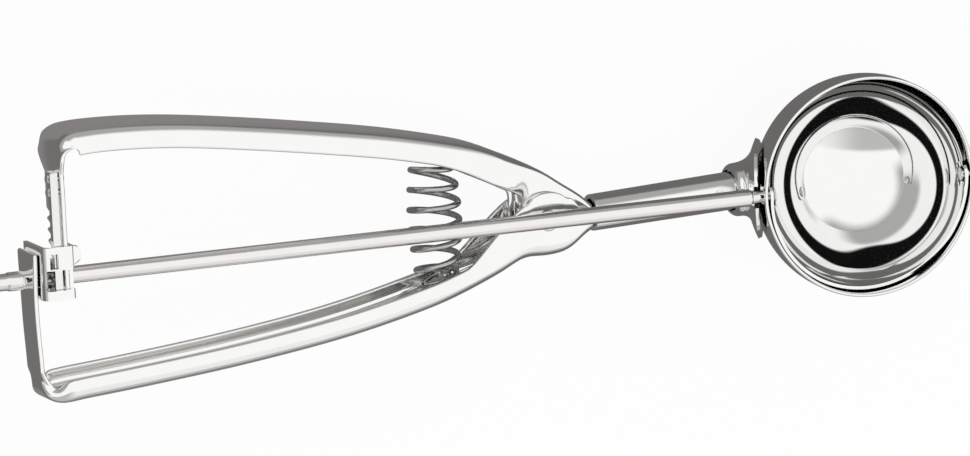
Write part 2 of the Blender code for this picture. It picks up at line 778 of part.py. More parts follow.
def make_gear_bracket(group, cutters, frame):
    """Make the bent bracket that covers the rack and holds the rod beside it."""
    spot = RACK_PLACE
    roof_low = spot.back + RUNNING_GAP
    roof = roof_low + BRACKET_SHEET
    rear, front = spot.rear_plate, spot.front_inner + BRACKET_SHEET
    bottom, top = -BRACKET_BOTTOM - HINGE_OFFSET, BRACKET_TOP - HINGE_OFFSET
    corner = 1.5 * BRACKET_SHEET

    def profile():
        points = [(rear, -BRACKET_FLOOR)]
        for middle_x, start in ((rear + corner, math.pi), (front - corner, math.pi / 2)):
            for step in range(5):
                angle = start - math.pi / 2 * step / 4
                points.append((middle_x + corner * math.cos(angle), roof - corner + corner * math.sin(angle)))
        points.append((front, -BRACKET_FLOOR))
        return points

    def build(shape):
        rows = []
        for y in (bottom, top):
            rows.append([shape.verts.new((x, y, z)) for x, z in profile()])
        for i in range(len(rows[0]) - 1):
            shape.faces.new((rows[0][i], rows[0][i + 1], rows[1][i + 1], rows[1][i]))

    thing = mesh_object("gear_bracket", build, group, frame)
    shell = thing.modifiers.new("sheet", "SOLIDIFY")
    shell.thickness = BRACKET_SHEET
    shell.offset = -1.0
    shell.use_even_offset = True
    window_rear = spot.rear_inner - WINDOW_BITE
    window_front = front + SHEET
    low, high = -WINDOW_BOTTOM - HINGE_OFFSET, WINDOW_TOP - HINGE_OFFSET
    under, over = roof - 2 * BRACKET_SHEET, roof + CUT_PAST
    window = cutter(
        "pinion_window",
        lambda s: add_box(s, (window_rear, low, under), (window_front, high, over)),
        cutters,
        frame,
    )
    combine(thing, window, "DIFFERENCE")
    slot_high = SLOT_TOP - HINGE_OFFSET
    slot = cutter(
        "rack_slot",
        lambda s: add_box(
            s,
            (window_rear + WINDOW_BITE / 2, high + SLOT_STEP, under),
            (window_rear + WINDOW_BITE / 2 + SLOT_WIDTH, slot_high, over),
        ),
        cutters,
        frame,
    )
    combine(thing, slot, "DIFFERENCE")
    rod_hole(thing, "bracket_rod_hole", RUNNING_GAP, -DRILL_PAST, 3 * DRILL_PAST, cutters)
    return thing


def make_hinge_rivet(group, frame):
    """Make the hinge rivet: a shank through ears and tang with two low heads."""
    inner = TANG_THICKNESS / 2 + 2 * (GAP + SHEET) + GAP
    outer = inner + HINGE_HEAD_THICKNESS
    edge = HINGE_HEAD_RADIUS - HINGE_HEAD_THICKNESS
    profile = [
        (-outer, edge),
        (-inner, HINGE_HEAD_RADIUS),
        (-inner, HINGE_RIVET_RADIUS),
        (inner, HINGE_RIVET_RADIUS),
        (inner, HINGE_HEAD_RADIUS),
        (outer, edge),
    ]

    def build(shape):
        rings = [(Vector((0.0, 0.0, z)), radius) for z, radius in profile]
        add_turned(shape, rings, Vector((0.0, 0.0, 1.0)), 32)

    return mesh_object("hinge_rivet", build, group, frame)


def neck_axis():
    """Return the neck's two ends in the hinge frame."""
    start = Vector((NECK_START, NECK_OFFSET, 0.0))
    return start, start + Vector((NECK_LENGTH, NECK_RISE, 0.0))


def make_neck(group, cutters, frame):
    """Make the neck: a tube whose rear end carries the flat tang of the hinge."""
    start, end = neck_axis()
    along = (end - start).normalized()

    def build(shape):
        add_cylinder(shape, NECK_REAR_RADIUS, start, end, 40, NECK_FRONT_RADIUS)

    thing = mesh_object("neck", build, group, frame)
    bore = NECK_REAR_RADIUS - NECK_WALL
    mouth = start - along * CUT_PAST
    drill(thing, "neck_bore", bore, mouth, start + along * NECK_BORE_DEPTH, cutters, 32)
    plug = NECK_START + NECK_BORE_DEPTH + PLUG_OVERLAP
    outline = rounded(
        [
            (-TANG_REAR, -TANG_DEPTH),
            (TANG_FOOT_END, -TANG_DEPTH),
            (TANG_WAIST_END, -PLUG_DEPTH),
            (plug, -PLUG_DEPTH),
            (plug, PLUG_RISE),
            (TANG_WAIST_END, PLUG_RISE),
            (TANG_TOP_END, TANG_HEIGHT),
            (-TANG_REAR, TANG_HEIGHT),
        ],
        TANG_ROUND,
    )
    half = TANG_THICKNESS / 2
    tang = extrude_outline("tang", outline, -half, half, cutters, frame)
    tang.hide_render = True
    tang.display_type = "WIRE"
    combine(thing, tang, "UNION")
    clear = HINGE_RIVET_RADIUS + RUNNING_GAP
    drill(thing, "tang_hole", clear, (0, 0, -2 * half), (0, 0, 2 * half), cutters)
    return thing


def rounded(corners, radius, steps=3):
    """Return a closed outline with its corners rounded."""
    outline = []
    count = len(corners)
    for index in range(count):
        here = Vector(corners[index])
        before = (Vector(corners[index - 1]) - here).normalized()
        after = (Vector(corners[(index + 1) % count]) - here).normalized()
        angle = before.angle(after)
        if angle > math.radians(175):
            outline.append(tuple(here))
            continue
        back = radius / math.tan(angle / 2)
        first, last = here + before * back, here + after * back
        for step in range(steps + 1):
            t = step / steps
            near = first.lerp(here, t)
            far = here.lerp(last, t)
            outline.append(tuple(near.lerp(far, t)))
    return outline


def make_bowl(group, cutters):
    """Make the bowl: a turned hemisphere with a short straight skirt."""
    inner = BOWL_RADIUS - BOWL_WALL
    arc = 14

    def build(shape):
        points = []
        for step in range(arc + 1):
            angle = math.radians(90) * (1 - step / arc)
            points.append((inner * math.cos(angle), -inner * math.sin(angle)))
        points.append((inner, RIM_HEIGHT))
        points.append((BOWL_RADIUS, RIM_HEIGHT))
        for step in range(arc + 1):
            angle = math.radians(90) * step / arc
            points.append((BOWL_RADIUS * math.cos(angle), -BOWL_RADIUS * math.sin(angle)))
        line = []
        for x, z in points:
            line.append(shape.verts.new((max(x, 0.0) if x > 1e-9 else 0.0, 0.0, z)))
        for a, b in zip(line, line[1:]):
            shape.edges.new((a, b))

    thing = mesh_object("bowl", build, group)
    thing.location = BOWL_CENTRE
    turn = thing.modifiers.new("turn", "SCREW")
    turn.axis = "Z"
    turn.steps = 56
    turn.render_steps = 56
    turn.use_merge_vertices = True
    turn.merge_threshold = 0.00001
    turn.use_smooth_shade = True
    reach = DRILL_PAST
    side = BOWL_CENTRE.x - BOWL_RADIUS
    far = BOWL_CENTRE.x + BOWL_RADIUS
    tip, pivot = ROD_TIP_RADIUS + RUNNING_GAP, PIVOT_RADIUS + GAP
    drill(thing, "tip_hole", tip, (side - reach, 0, 0), (side + reach, 0, 0), cutters)
    drill(thing, "pivot_hole", pivot, (far - reach, 0, 0), (far + reach, 0, 0), cutters)
    return thing


def make_saddle(group, cutters):
    """Make the saddle: a flared sheet from the neck's socket to the bowl's wall."""
    start, end = neck_axis()
    socket = FROM_HINGE @ (end - (end - start).normalized() * SADDLE_SOCKET)
    mouth = FROM_HINGE @ end
    along = (mouth - socket).normalized()
    side = Vector((0, 1, 0)) - along * along.y
    side.normalize()
    up = side.cross(-along).normalized()
    if up.z < 0:
        up = -up
    socket_radius = NECK_FRONT_RADIUS + GAP + SADDLE_SHEET
    seat = BOWL_RADIUS + GAP + SADDLE_SHEET
    middle = (SADDLE_TOP + SADDLE_FOOT) / 2
    rise = (SADDLE_TOP - SADDLE_FOOT) / 2

    def on_bowl(turn, spread):
        azimuth = SADDLE_SPREAD * spread * math.cos(turn)
        height = middle + rise * spread * math.sin(turn)
        flat = math.cos(height)
        return Vector((-flat * math.cos(azimuth), flat * math.sin(azimuth), math.sin(height)))

    def build(shape):
        segments = 40
        rows = []
        for reach in (0.0, 0.5, 1.0):
            centre = socket.lerp(mouth, reach)
            row = []
            for step in range(segments):
                turn = 2 * math.pi * step / segments
                offset = side * math.cos(turn) + up * math.sin(turn)
                row.append(centre + offset * socket_radius)
            rows.append(row)
        steps = 9
        for number in range(1, steps + 1):
            t = number / steps
            row = []
            for step in range(segments):
                turn = 2 * math.pi * step / segments
                offset = side * math.cos(turn) + up * math.sin(turn)
                root = mouth + offset * socket_radius
                edge = BOWL_CENTRE + on_bowl(turn, 1.0) * seat
                inner = BOWL_CENTRE + on_bowl(turn, SADDLE_SWELL) * seat
                bow = root + along * SADDLE_BOW
                lift = edge + (inner - edge) * 0.9
                a = root.lerp(bow, t).lerp(bow.lerp(lift, t), t)
                b = bow.lerp(lift, t).lerp(lift.lerp(edge, t), t)
                point = a.lerp(b, t)
                away = point - BOWL_CENTRE
                if away.length < seat:
                    point = BOWL_CENTRE + away.normalized() * seat
                row.append(point)
            rows.append(row)
        grid = [[shape.verts.new(p) for p in row] for row in rows]
        for a, b in zip(grid, grid[1:]):
            for i in range(segments):
                j = (i + 1) % segments
                shape.faces.new((a[i], b[i], b[j], a[j]))
        bmesh.ops.recalc_face_normals(shape, faces=shape.faces)

    thing = mesh_object("bowl_saddle", build, group)
    shell = thing.modifiers.new("sheet", "SOLIDIFY")
    shell.thickness = SADDLE_SHEET
    shell.offset = -1.0
    shell.use_even_offset = True
    half = ROD_RADIUS + RUNNING_GAP
    side_x = BOWL_CENTRE.x - BOWL_RADIUS
    rear = (side_x - NOTCH_REAR, -half, -half)
    front = (side_x + NOTCH_FRONT, half, half + NOTCH_FRONT)
    notch = cutter(
        "rod_notch",
        lambda s: add_box(s, rear, front),
        cutters,
    )
    combine(thing, notch, "DIFFERENCE")
    return thing


def make_scraper(group, cutters, shaft):
    """Make the scraper: a half ring of strip that follows the bowl's inside."""
    outer = BOWL_RADIUS - BOWL_WALL - SCRAPER_CLEARANCE
    ear = SCRAPER_EAR / outer
    half = SCRAPER_WIDTH / 2 / outer
    steps = 40
    end = 0.92 * ear

    def build(shape):
        down = Vector((0.0, -math.cos(SCRAPER_REST), -math.sin(SCRAPER_REST)))
        across = Vector((0.0, math.sin(SCRAPER_REST), -math.cos(SCRAPER_REST)))
        rows = []
        for step in range(steps + 1):
            turn = -end + (math.pi + 2 * end) * step / steps
            from_pole = min(turn, math.pi - turn)
            if from_pole < 0:
                width = math.sqrt(ear * ear - from_pole * from_pole)
            else:
                width = ear + (half - ear) * ease(from_pole / math.radians(40))
            centre = Vector((-math.cos(turn), 0, 0)) + down * math.sin(turn)
            row = []
            for share in (-1.0, -0.5, 0.0, 0.5, 1.0):
                lean = width * share
                direction = centre * math.cos(lean) + across * math.sin(lean)
                row.append(shape.verts.new(BOWL_CENTRE + direction * outer))
            rows.append(row)
        for a, b in zip(rows, rows[1:]):
            for i in range(len(a) - 1):
                shape.faces.new((a[i], a[i + 1], b[i + 1], b[i]))
        bmesh.ops.recalc_face_normals(shape, faces=shape.faces)
        shape.faces.ensure_lookup_table()
        probe = shape.faces[len(shape.faces) // 2]
        if probe.normal.dot(probe.calc_center_median() - BOWL_CENTRE) < 0:
            bmesh.ops.reverse_faces(shape, faces=shape.faces)

    thing = mesh_object("scraper", build, group, shaft)
    shell = thing.modifiers.new("sheet", "SOLIDIFY")
    shell.thickness = SCRAPER_SHEET
    shell.offset = -1.0
    shell.use_even_offset = True
    near = BOWL_CENTRE.x - outer
    far = BOWL_CENTRE.x + outer
    reach = DRILL_PAST
    tip, pivot = ROD_TIP_RADIUS + GAP, PIVOT_RADIUS + RUNNING_GAP
    drill(thing, "scraper_tip_hole", tip, (near - reach, 0, 0), (near + reach, 0, 0), cutters)
    drill(thing, "scraper_pivot_hole", pivot, (far - reach, 0, 0), (far + reach, 0, 0), cutters)
    return thing


def make_scraper_pivot(group):
    """Make the rivet in the bowl's far wall that carries the scraper's end."""
    wall = BOWL_CENTRE.x + BOWL_RADIUS + GAP
    behind = BOWL_WALL + SCRAPER_CLEARANCE + SCRAPER_SHEET + RUNNING_GAP
    inside = BOWL_CENTRE.x + BOWL_RADIUS - behind
    profile = [
        (inside - PEEN, 0.8 * PEEN_RADIUS),
        (inside, PEEN_RADIUS),
        (inside, PIVOT_RADIUS),
        (wall, PIVOT_RADIUS),
        (wall, PIVOT_HEAD_RADIUS),
        (wall + PIVOT_HEAD_THICKNESS, 0.6 * PIVOT_HEAD_RADIUS),
    ]

    def build(shape):
        rings = [(Vector((x, 0.0, 0.0)), radius) for x, radius in profile]
        add_turned(shape, rings, Vector((1.0, 0.0, 0.0)), 24)

    return mesh_object("scraper_pivot", build, group)


def spring_seats():
    """Return the spring's two seats on the webs' inner faces, lower one first."""
    x = -SPRING_FROM_HINGE
    seats = []
    for path in (LOWER_PATH, UPPER_PATH):
        here, beyond = path.at(x), path.at(x + SPRING_WIRE)
        slope = (beyond.y - here.y) / (beyond.x - here.x)
        lean = math.sqrt(1 + slope * slope)
        seats.append((here.y - path.side * SHEET * lean, slope, lean))
    return seats


def spring_points():
    """Return the coil's centre line, with closed end turns lying on the webs."""
    (low, low_slope, low_lean), (high, high_slope, high_lean) = spring_seats()
    bottom = low + (SPRING_WIRE + GAP) * low_lean
    top = high - (SPRING_WIRE + GAP) * high_lean
    active = SPRING_TURNS - 2 * SPRING_DEAD_TURNS
    dead = SPRING_DEAD_TURNS * SPRING_DEAD_PITCH
    points = []
    lean_turns = SPRING_TURNS / 3
    count = int(round(SPRING_TURNS * CURL_POINTS))
    for step in range(count + 1):
        turn = SPRING_TURNS * step / count
        share = turn / SPRING_TURNS
        if turn < SPRING_DEAD_TURNS:
            rise = turn * SPRING_DEAD_PITCH
        elif turn > SPRING_TURNS - SPRING_DEAD_TURNS:
            rise = top - bottom - (SPRING_TURNS - turn) * SPRING_DEAD_PITCH
        else:
            rise = dead + (top - bottom - 2 * dead) * (turn - SPRING_DEAD_TURNS) / active
        barrel = math.sin(math.pi * share) ** 1.2
        radius = SPRING_END_RADIUS + (SPRING_MIDDLE_RADIUS - SPRING_END_RADIUS) * barrel
        slope = low_slope * (1 - ease(turn / lean_turns))
        slope += high_slope * ease((turn - SPRING_TURNS) / (2 * lean_turns) + 1)
        angle = 2 * math.pi * turn + math.pi
        across = radius * math.cos(angle)
        height = bottom + rise + slope * across
        depth = SPRING_SHIFT - radius * math.sin(angle)
        points.append(Vector((across - SPRING_FROM_HINGE, height, depth)))
    return points


def least_gap(points, radius, apart):
    """Return the least clear space between far stretches of one tube."""
    closest = math.inf
    for i, a in enumerate(points):
        for b in points[i + apart :]:
            closest = min(closest, (a - b).length)
    return closest - 2 * radius


def make_spring(group, frame):
    """Make the return spring between the handles, one unbroken coil of wire."""
    points = spring_points()
    fine = []
    for a, b in zip(points, points[1:]):
        fine += [a.lerp(b, step / 4) for step in range(4)]
    clear = least_gap(fine, SPRING_WIRE, 2 * CURL_POINTS)
    print(f"return_spring least gap to itself {clear * 1000:.2f} mm")
    curve = bpy.data.curves.new("return_spring", "CURVE")
    curve.dimensions = "3D"
    curve.bevel_depth = SPRING_WIRE
    curve.bevel_resolution = 1
    curve.use_fill_caps = True
    spline = curve.splines.new("POLY")
    spline.points.add(len(points) - 1)
    for point, spot in zip(spline.points, points):
        point.co = (*spot, 1.0)
    guide = bpy.data.objects.new("return_spring_line", curve)
    group.objects.link(guide)
    bpy.context.view_layer.update()
    return curve_to_mesh(guide, "return_spring", group, frame, SPRING_STEEL)


def make_spring_peg(name, seat, side, group, parent):
    """Make a peg on a handle's web that keeps the spring's end in place."""
    y, slope, lean = seat
    inward = Vector((slope, -1.0, 0.0)).normalized() * side
    foot = Vector((-SPRING_FROM_HINGE, y, SPRING_SHIFT)) + inward * GAP

    def build(shape):
        shoulder = foot + inward * (PEG_HEIGHT - PEG_CHAMFER)
        top = foot + inward * PEG_HEIGHT
        rings = [(foot, PEG_RADIUS), (shoulder, PEG_RADIUS), (top, PEG_RADIUS - PEG_CHAMFER)]
        add_turned(shape, rings, inward, 20)

    return mesh_object(name, build, group, parent)


def make_frame_empty(name, group):
    """Make an empty on the hinge, turned so its Z axis is the hinge's axis."""
    empty = bpy.data.objects.new(name, None)
    group.objects.link(empty)
    empty.location = HINGE
    empty.rotation_euler = (0.0, TILT, 0.0)
    bpy.context.view_layer.update()
    return empty


LOWER_PATH = lower_path()
UPPER_PATH = upper_path()


def main():
    """Build every piece of the scoop."""
    clear_scene()
    group = make_collection("ice_cream_scoop")
    cutters = make_collection("cutters")
    frame = make_frame_empty("hinge_frame", group)
    lever = make_frame_empty("lever_frame", group)
    shaft = bpy.data.objects.new("shaft_axis", None)
    group.objects.link(shaft)

    make_fixed_handle(group, cutters, frame)
    make_squeeze_handle(group, cutters, lever)
    make_rack(group, cutters, lever)
    make_rack_rivets(group, lever)
    make_gear_bracket(group, cutters, frame)
    make_hinge_rivet(group, frame)
    make_neck(group, cutters, frame)
    make_saddle(group, cutters)
    make_bowl(group, cutters)
    make_pinion(group, cutters, shaft)
    make_thrust_washer(group, cutters, shaft)
    make_drive_rod(group, shaft)
    make_scraper(group, cutters, shaft)
    make_scraper_pivot(group)
    make_spring(group, frame)
    lower_seat, upper_seat = spring_seats()
    make_spring_peg("lower_spring_peg", lower_seat, -1, group, frame)
    make_spring_peg("upper_spring_peg", upper_seat, 1, group, lever)
    bpy.context.view_layer.update()
    ratio = RACK_PLACE.reach / PITCH_RADIUS
    hinge = ", ".join(f"{v * 1000:.4f}" for v in HINGE)
    print(f"tilt {math.degrees(TILT):.4f} deg, hinge {hinge} mm, ratio {ratio:.5f}")


main()
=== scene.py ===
"""Ice cream scoop: pressed, turned and wound surfaces dressed over the scoop's fixed frame."""

import json
import logging
import math
from dataclasses import dataclass, field
from enum import Enum
from typing import ClassVar

import bpy
import numpy as np
from mathutils import Matrix, Vector


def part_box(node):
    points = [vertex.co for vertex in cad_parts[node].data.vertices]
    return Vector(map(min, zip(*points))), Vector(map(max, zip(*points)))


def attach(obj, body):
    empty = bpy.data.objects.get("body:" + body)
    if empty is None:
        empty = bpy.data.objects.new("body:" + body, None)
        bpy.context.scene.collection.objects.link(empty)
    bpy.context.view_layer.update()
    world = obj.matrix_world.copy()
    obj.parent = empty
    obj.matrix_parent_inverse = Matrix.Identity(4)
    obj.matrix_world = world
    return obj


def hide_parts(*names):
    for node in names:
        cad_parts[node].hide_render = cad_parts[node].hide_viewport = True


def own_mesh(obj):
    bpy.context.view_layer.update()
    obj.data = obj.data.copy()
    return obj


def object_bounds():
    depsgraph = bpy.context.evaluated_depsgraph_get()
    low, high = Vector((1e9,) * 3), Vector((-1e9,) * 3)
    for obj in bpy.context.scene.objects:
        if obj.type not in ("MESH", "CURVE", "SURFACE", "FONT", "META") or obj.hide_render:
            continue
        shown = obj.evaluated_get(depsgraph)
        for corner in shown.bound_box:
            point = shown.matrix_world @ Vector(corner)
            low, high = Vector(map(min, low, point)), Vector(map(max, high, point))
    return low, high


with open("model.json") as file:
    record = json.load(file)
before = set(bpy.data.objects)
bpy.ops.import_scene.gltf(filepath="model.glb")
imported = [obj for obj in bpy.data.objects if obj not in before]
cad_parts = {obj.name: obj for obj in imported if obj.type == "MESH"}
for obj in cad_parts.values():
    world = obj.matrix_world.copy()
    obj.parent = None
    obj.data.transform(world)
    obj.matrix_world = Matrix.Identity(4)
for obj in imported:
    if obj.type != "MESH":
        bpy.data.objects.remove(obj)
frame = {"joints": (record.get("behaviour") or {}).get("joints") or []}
CAD_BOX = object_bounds()

logging.basicConfig(level=logging.INFO, format="%(name)s: %(message)s")
LOG = logging.getLogger("scoop")


# Sizes in metres that several pieces share, and the radius at which a turned end closes
GAP = 0.0003
HANDLE_SHEET = 0.0011
TANG = 0.0050
ROD_RADIUS = 0.0019
BOWL_RADIUS = 0.0250
BOWL_WALL = 0.0008
SCRAPER_CLEARANCE = 0.0004
SCRAPER_SHEET = 0.0007
POLE = 1e-5

# A smooth step: where it starts and ends, and its level before and after
Slide = tuple[float, float, float, float]


class Lines(Enum):
    """How a finish's fine lines are scaled each way, where it has any."""

    NONE = None
    ALONG_ROD = (60.0, 5200.0, 5200.0)


@dataclass(frozen=True)
class Finish:
    """A metal finish: its colour, gloss, fine lines, small waves and slight tarnish."""

    name: str
    colour: tuple[float, float, float]
    roughness: float
    wave: float = 0.0
    wave_scale: float = 60.0
    lines: Lines = Lines.NONE
    line_depth: float = 0.0
    tarnish: float = 0.04
    smudge_scale: float = 140.0
    gloss_range: tuple[float, float] = (0.8, 1.3)
    bump_height: float = 0.0004

    def material(self) -> bpy.types.Material:
        """Build the finish as a material of procedural nodes.

        Returns:
            The material, with its gloss varied by noise and its surface waved by bump.
        """
        material = bpy.data.materials.new(self.name)
        material.use_nodes = True
        tree = material.node_tree
        shader = tree.nodes["Principled BSDF"]
        shader.inputs["Metallic"].default_value = 1.0
        shader.inputs["IOR"].default_value = 2.4
        place = tree.nodes.new("ShaderNodeTexCoord").outputs["Object"]

        smudge = self.noise(tree, place, self.smudge_scale, 4.0)
        low, high = (self.roughness * share for share in self.gloss_range)
        gloss = tree.nodes.new("ShaderNodeMapRange")
        levels = {"From Min": 0.3, "From Max": 0.7, "To Min": low, "To Max": high}
        for socket, level in levels.items():
            gloss.inputs[socket].default_value = level
        tree.links.new(smudge, gloss.inputs["Value"])
        tree.links.new(gloss.outputs["Result"], shader.inputs["Roughness"])

        tint = tree.nodes.new("ShaderNodeMix")
        tint.data_type = "RGBA"
        tint.inputs["A"].default_value = (*self.colour, 1.0)
        tint.inputs["B"].default_value = (*[c * (1 - self.tarnish) for c in self.colour], 1.0)
        tree.links.new(smudge, tint.inputs["Factor"])
        tree.links.new(tint.outputs["Result"], shader.inputs["Base Color"])

        if self.wave > 0:
            self.bump(tree, self.noise(tree, place, self.wave_scale, 1.0), self.wave)
        if self.lines is not Lines.NONE:
            turn = tree.nodes.new("ShaderNodeMapping")
            turn.inputs["Scale"].default_value = self.lines.value
            tree.links.new(place, turn.inputs["Vector"])
            self.bump(tree, self.noise(tree, turn.outputs["Vector"], 1.0, 3.0), self.line_depth)
        return material

    @staticmethod
    def noise(tree: bpy.types.NodeTree, place: bpy.types.NodeSocket, scale: float,
              detail: float) -> bpy.types.NodeSocket:
        """Add a noise texture.

        Args:
            tree: the material's nodes.
            place: where it is read.
            scale: how fine it is.
            detail: how many finer layers it has.

        Returns:
            The noise, from 0 to 1.
        """
        node = tree.nodes.new("ShaderNodeTexNoise")
        node.inputs["Scale"].default_value = scale
        node.inputs["Detail"].default_value = detail
        tree.links.new(place, node.inputs["Vector"])
        return node.outputs["Fac"]

    def bump(self, tree: bpy.types.NodeTree, height: bpy.types.NodeSocket, strength: float) -> None:
        """Bump the metal's surface.

        Args:
            tree: the material's nodes.
            height: the height, from 0 to 1.
            strength: how strongly it shows.
        """
        node = tree.nodes.new("ShaderNodeBump")
        node.inputs["Strength"].default_value = strength
        node.inputs["Distance"].default_value = self.bump_height
        tree.links.new(height, node.inputs["Height"])
        tree.links.new(node.outputs["Normal"], tree.nodes["Principled BSDF"].inputs["Normal"])


FINISHES = {
    "bowl_steel": Finish("bowl_chrome", (0.95, 0.95, 0.94), 0.03),
    "handle_steel": Finish("handle_chrome", (0.95, 0.95, 0.94), 0.07, wave=0.02, wave_scale=40.0),
    "rod_steel": Finish(
        "rod_chrome", (0.90, 0.875, 0.86), 0.08, lines=Lines.ALONG_ROD, line_depth=0.03),
    "rivet_steel": Finish("rivet_chrome", (0.90, 0.90, 0.89), 0.08),
    "gear_steel": Finish("gear_steel", (0.64, 0.62, 0.58), 0.20, tarnish=0.25),
    "rack_steel": Finish("rack_steel", (0.90, 0.90, 0.89), 0.10, tarnish=0.08),
    "spring_wire": Finish("spring_wire", (0.54, 0.54, 0.53), 0.12, tarnish=0.15),
}


def ease(value: np.ndarray | float) -> np.ndarray:
    """Ramp smoothly from 0 to 1: three times the square less twice the cube.

    Args:
        value: where on the ramp, which may lie outside it.

    Returns:
        The ramp's height.
    """
    held = np.clip(value, 0.0, 1.0)
    return held * held * (3.0 - 2.0 * held)


def unit(vectors: np.ndarray) -> np.ndarray:
    """Scale vectors to length one: each over its own length."""
    return vectors / np.linalg.norm(vectors, axis=-1, keepdims=True)


@dataclass
class Skin:
    """The points and faces of a closed surface."""

    points: np.ndarray
    quads: np.ndarray
    fans: np.ndarray = field(default_factory=lambda: np.zeros((0, 3), int))

    def outward(self) -> "Skin":
        """Turn the faces outwards: the sum of signed corner volumes is made positive.

        Returns:
            The skin, its faces reversed where the sum was negative.
        """
        triangles = np.concatenate([self.quads[:, [0, 1, 2]], self.quads[:, [0, 2, 3]], self.fans])
        a, b, c = (self.points[triangles[:, k]] for k in range(3))
        if np.einsum("ij,ij->", a, np.cross(b, c)) < 0:
            return Skin(self.points, self.quads[:, ::-1], self.fans[:, ::-1])
        return self

    def joined(self, other: "Skin") -> "Skin":
        """Put another closed skin beside this one.

        Args:
            other: the other skin.

        Returns:
            One skin that holds both.
        """
        step = len(self.points)
        return Skin(
            np.concatenate([self.points, other.points]),
            np.concatenate([self.quads, other.quads + step]),
            np.concatenate([self.fans, other.fans + step]),
        )


def grid_quads(rows: int, columns: int, wrap_rows: bool, wrap_columns: bool) -> np.ndarray:
    """List a grid's faces: corner (i, j) is point i times columns plus j.

    Args:
        rows: how many rows of points.
        columns: how many points in a row.
        wrap_rows: whether the last row joins the first.
        wrap_columns: whether a row's end joins its start.

    Returns:
        Four point numbers for each face.
    """
    i = np.arange(rows if wrap_rows else rows - 1)[:, None]
    j = np.arange(columns if wrap_columns else columns - 1)[None, :]
    below, beside = (i + 1) % rows, (j + 1) % columns
    corners = (i * columns + j, i * columns + beside, below * columns + beside, below * columns + j)
    return np.stack(np.broadcast_arrays(*corners), -1).reshape(-1, 4)


def carried(rings: np.ndarray, looped: bool = False) -> Skin:
    """Skin a row of closed rings, with a fan to the middle of each end ring.

    Args:
        rings: rows of ring points, shape (rows, columns, 3).
        looped: whether the last ring joins the first, so there are no ends.

    Returns:
        The closed skin.
    """
    rows, columns, _ = rings.shape
    points = rings.reshape(-1, 3)
    quads = grid_quads(rows, columns, looped, True)
    if looped:
        return Skin(points, quads).outward()
    middles = np.stack([rings[0].mean(0), rings[-1].mean(0)])
    j = np.arange(columns)
    after = (j + 1) % columns
    last = (rows - 1) * columns
    first_fan = np.stack([np.full(columns, len(points)), after, j], -1)
    last_fan = np.stack([np.full(columns, len(points) + 1), last + j, last + after], -1)
    fans = np.concatenate([first_fan, last_fan])
    return Skin(np.concatenate([points, middles]), quads, fans).outward()


def turned(profile: np.ndarray, start: np.ndarray, axis: np.ndarray, segments: int,
           looped: bool = False) -> Skin:
    """Turn a profile about an axis: start + along * axis + radius * (cos * side + sin * up).

    Args:
        profile: rows of (along, radius).
        start: the point of the axis where along is zero.
        axis: the axis's direction.
        segments: how many points round.
        looped: whether the profile is a closed line clear of the axis.

    Returns:
        The closed skin.
    """
    axis = unit(np.asarray(axis, float))
    helper = np.array([0.0, 0.0, 1.0]) if abs(axis[2]) < 0.9 else np.array([1.0, 0.0, 0.0])
    side = unit(np.cross(helper, axis))
    up = np.cross(axis, side)
    angle = np.linspace(0, 2 * np.pi, segments, endpoint=False)
    spoke = np.cos(angle)[:, None] * side + np.sin(angle)[:, None] * up
    along, radius = np.asarray(profile, float).T
    middle = np.asarray(start, float) + along[:, None, None] * axis
    return carried(middle + radius[:, None, None] * spoke[None], looped)


def softened(corners: np.ndarray, radii: np.ndarray | float, steps: int = 6,
             closed: bool = False) -> np.ndarray:
    """Round a line's corners: each becomes a parabola that starts and ends a set way before it.

    Args:
        corners: the line's corners, shape (count, 2).
        radii: how far before each corner the rounding starts.
        steps: points in each rounding.
        closed: whether the last corner joins the first.

    Returns:
        The rounded line.
    """
    corners = np.asarray(corners, float)
    before, after = np.roll(corners, 1, 0), np.roll(corners, -1, 0)
    radii = np.broadcast_to(np.asarray(radii, float), len(corners)).copy()
    if not closed:
        radii[[0, -1]] = 0.0
    to_before, to_after = before - corners, after - corners
    room = 0.49 * np.minimum(np.linalg.norm(to_before, axis=1), np.linalg.norm(to_after, axis=1))
    held = np.minimum(radii, room)[:, None]
    first, last = corners + unit(to_before) * held, corners + unit(to_after) * held
    t = np.linspace(0, 1, steps)[None, :, None]
    first, middle, last = first[:, None], corners[:, None], last[:, None]
    line = ((1 - t) ** 2 * first + 2 * t * (1 - t) * middle + t ** 2 * last).reshape(-1, 2)
    return line if closed else line[steps - 1: len(line) - steps + 1]


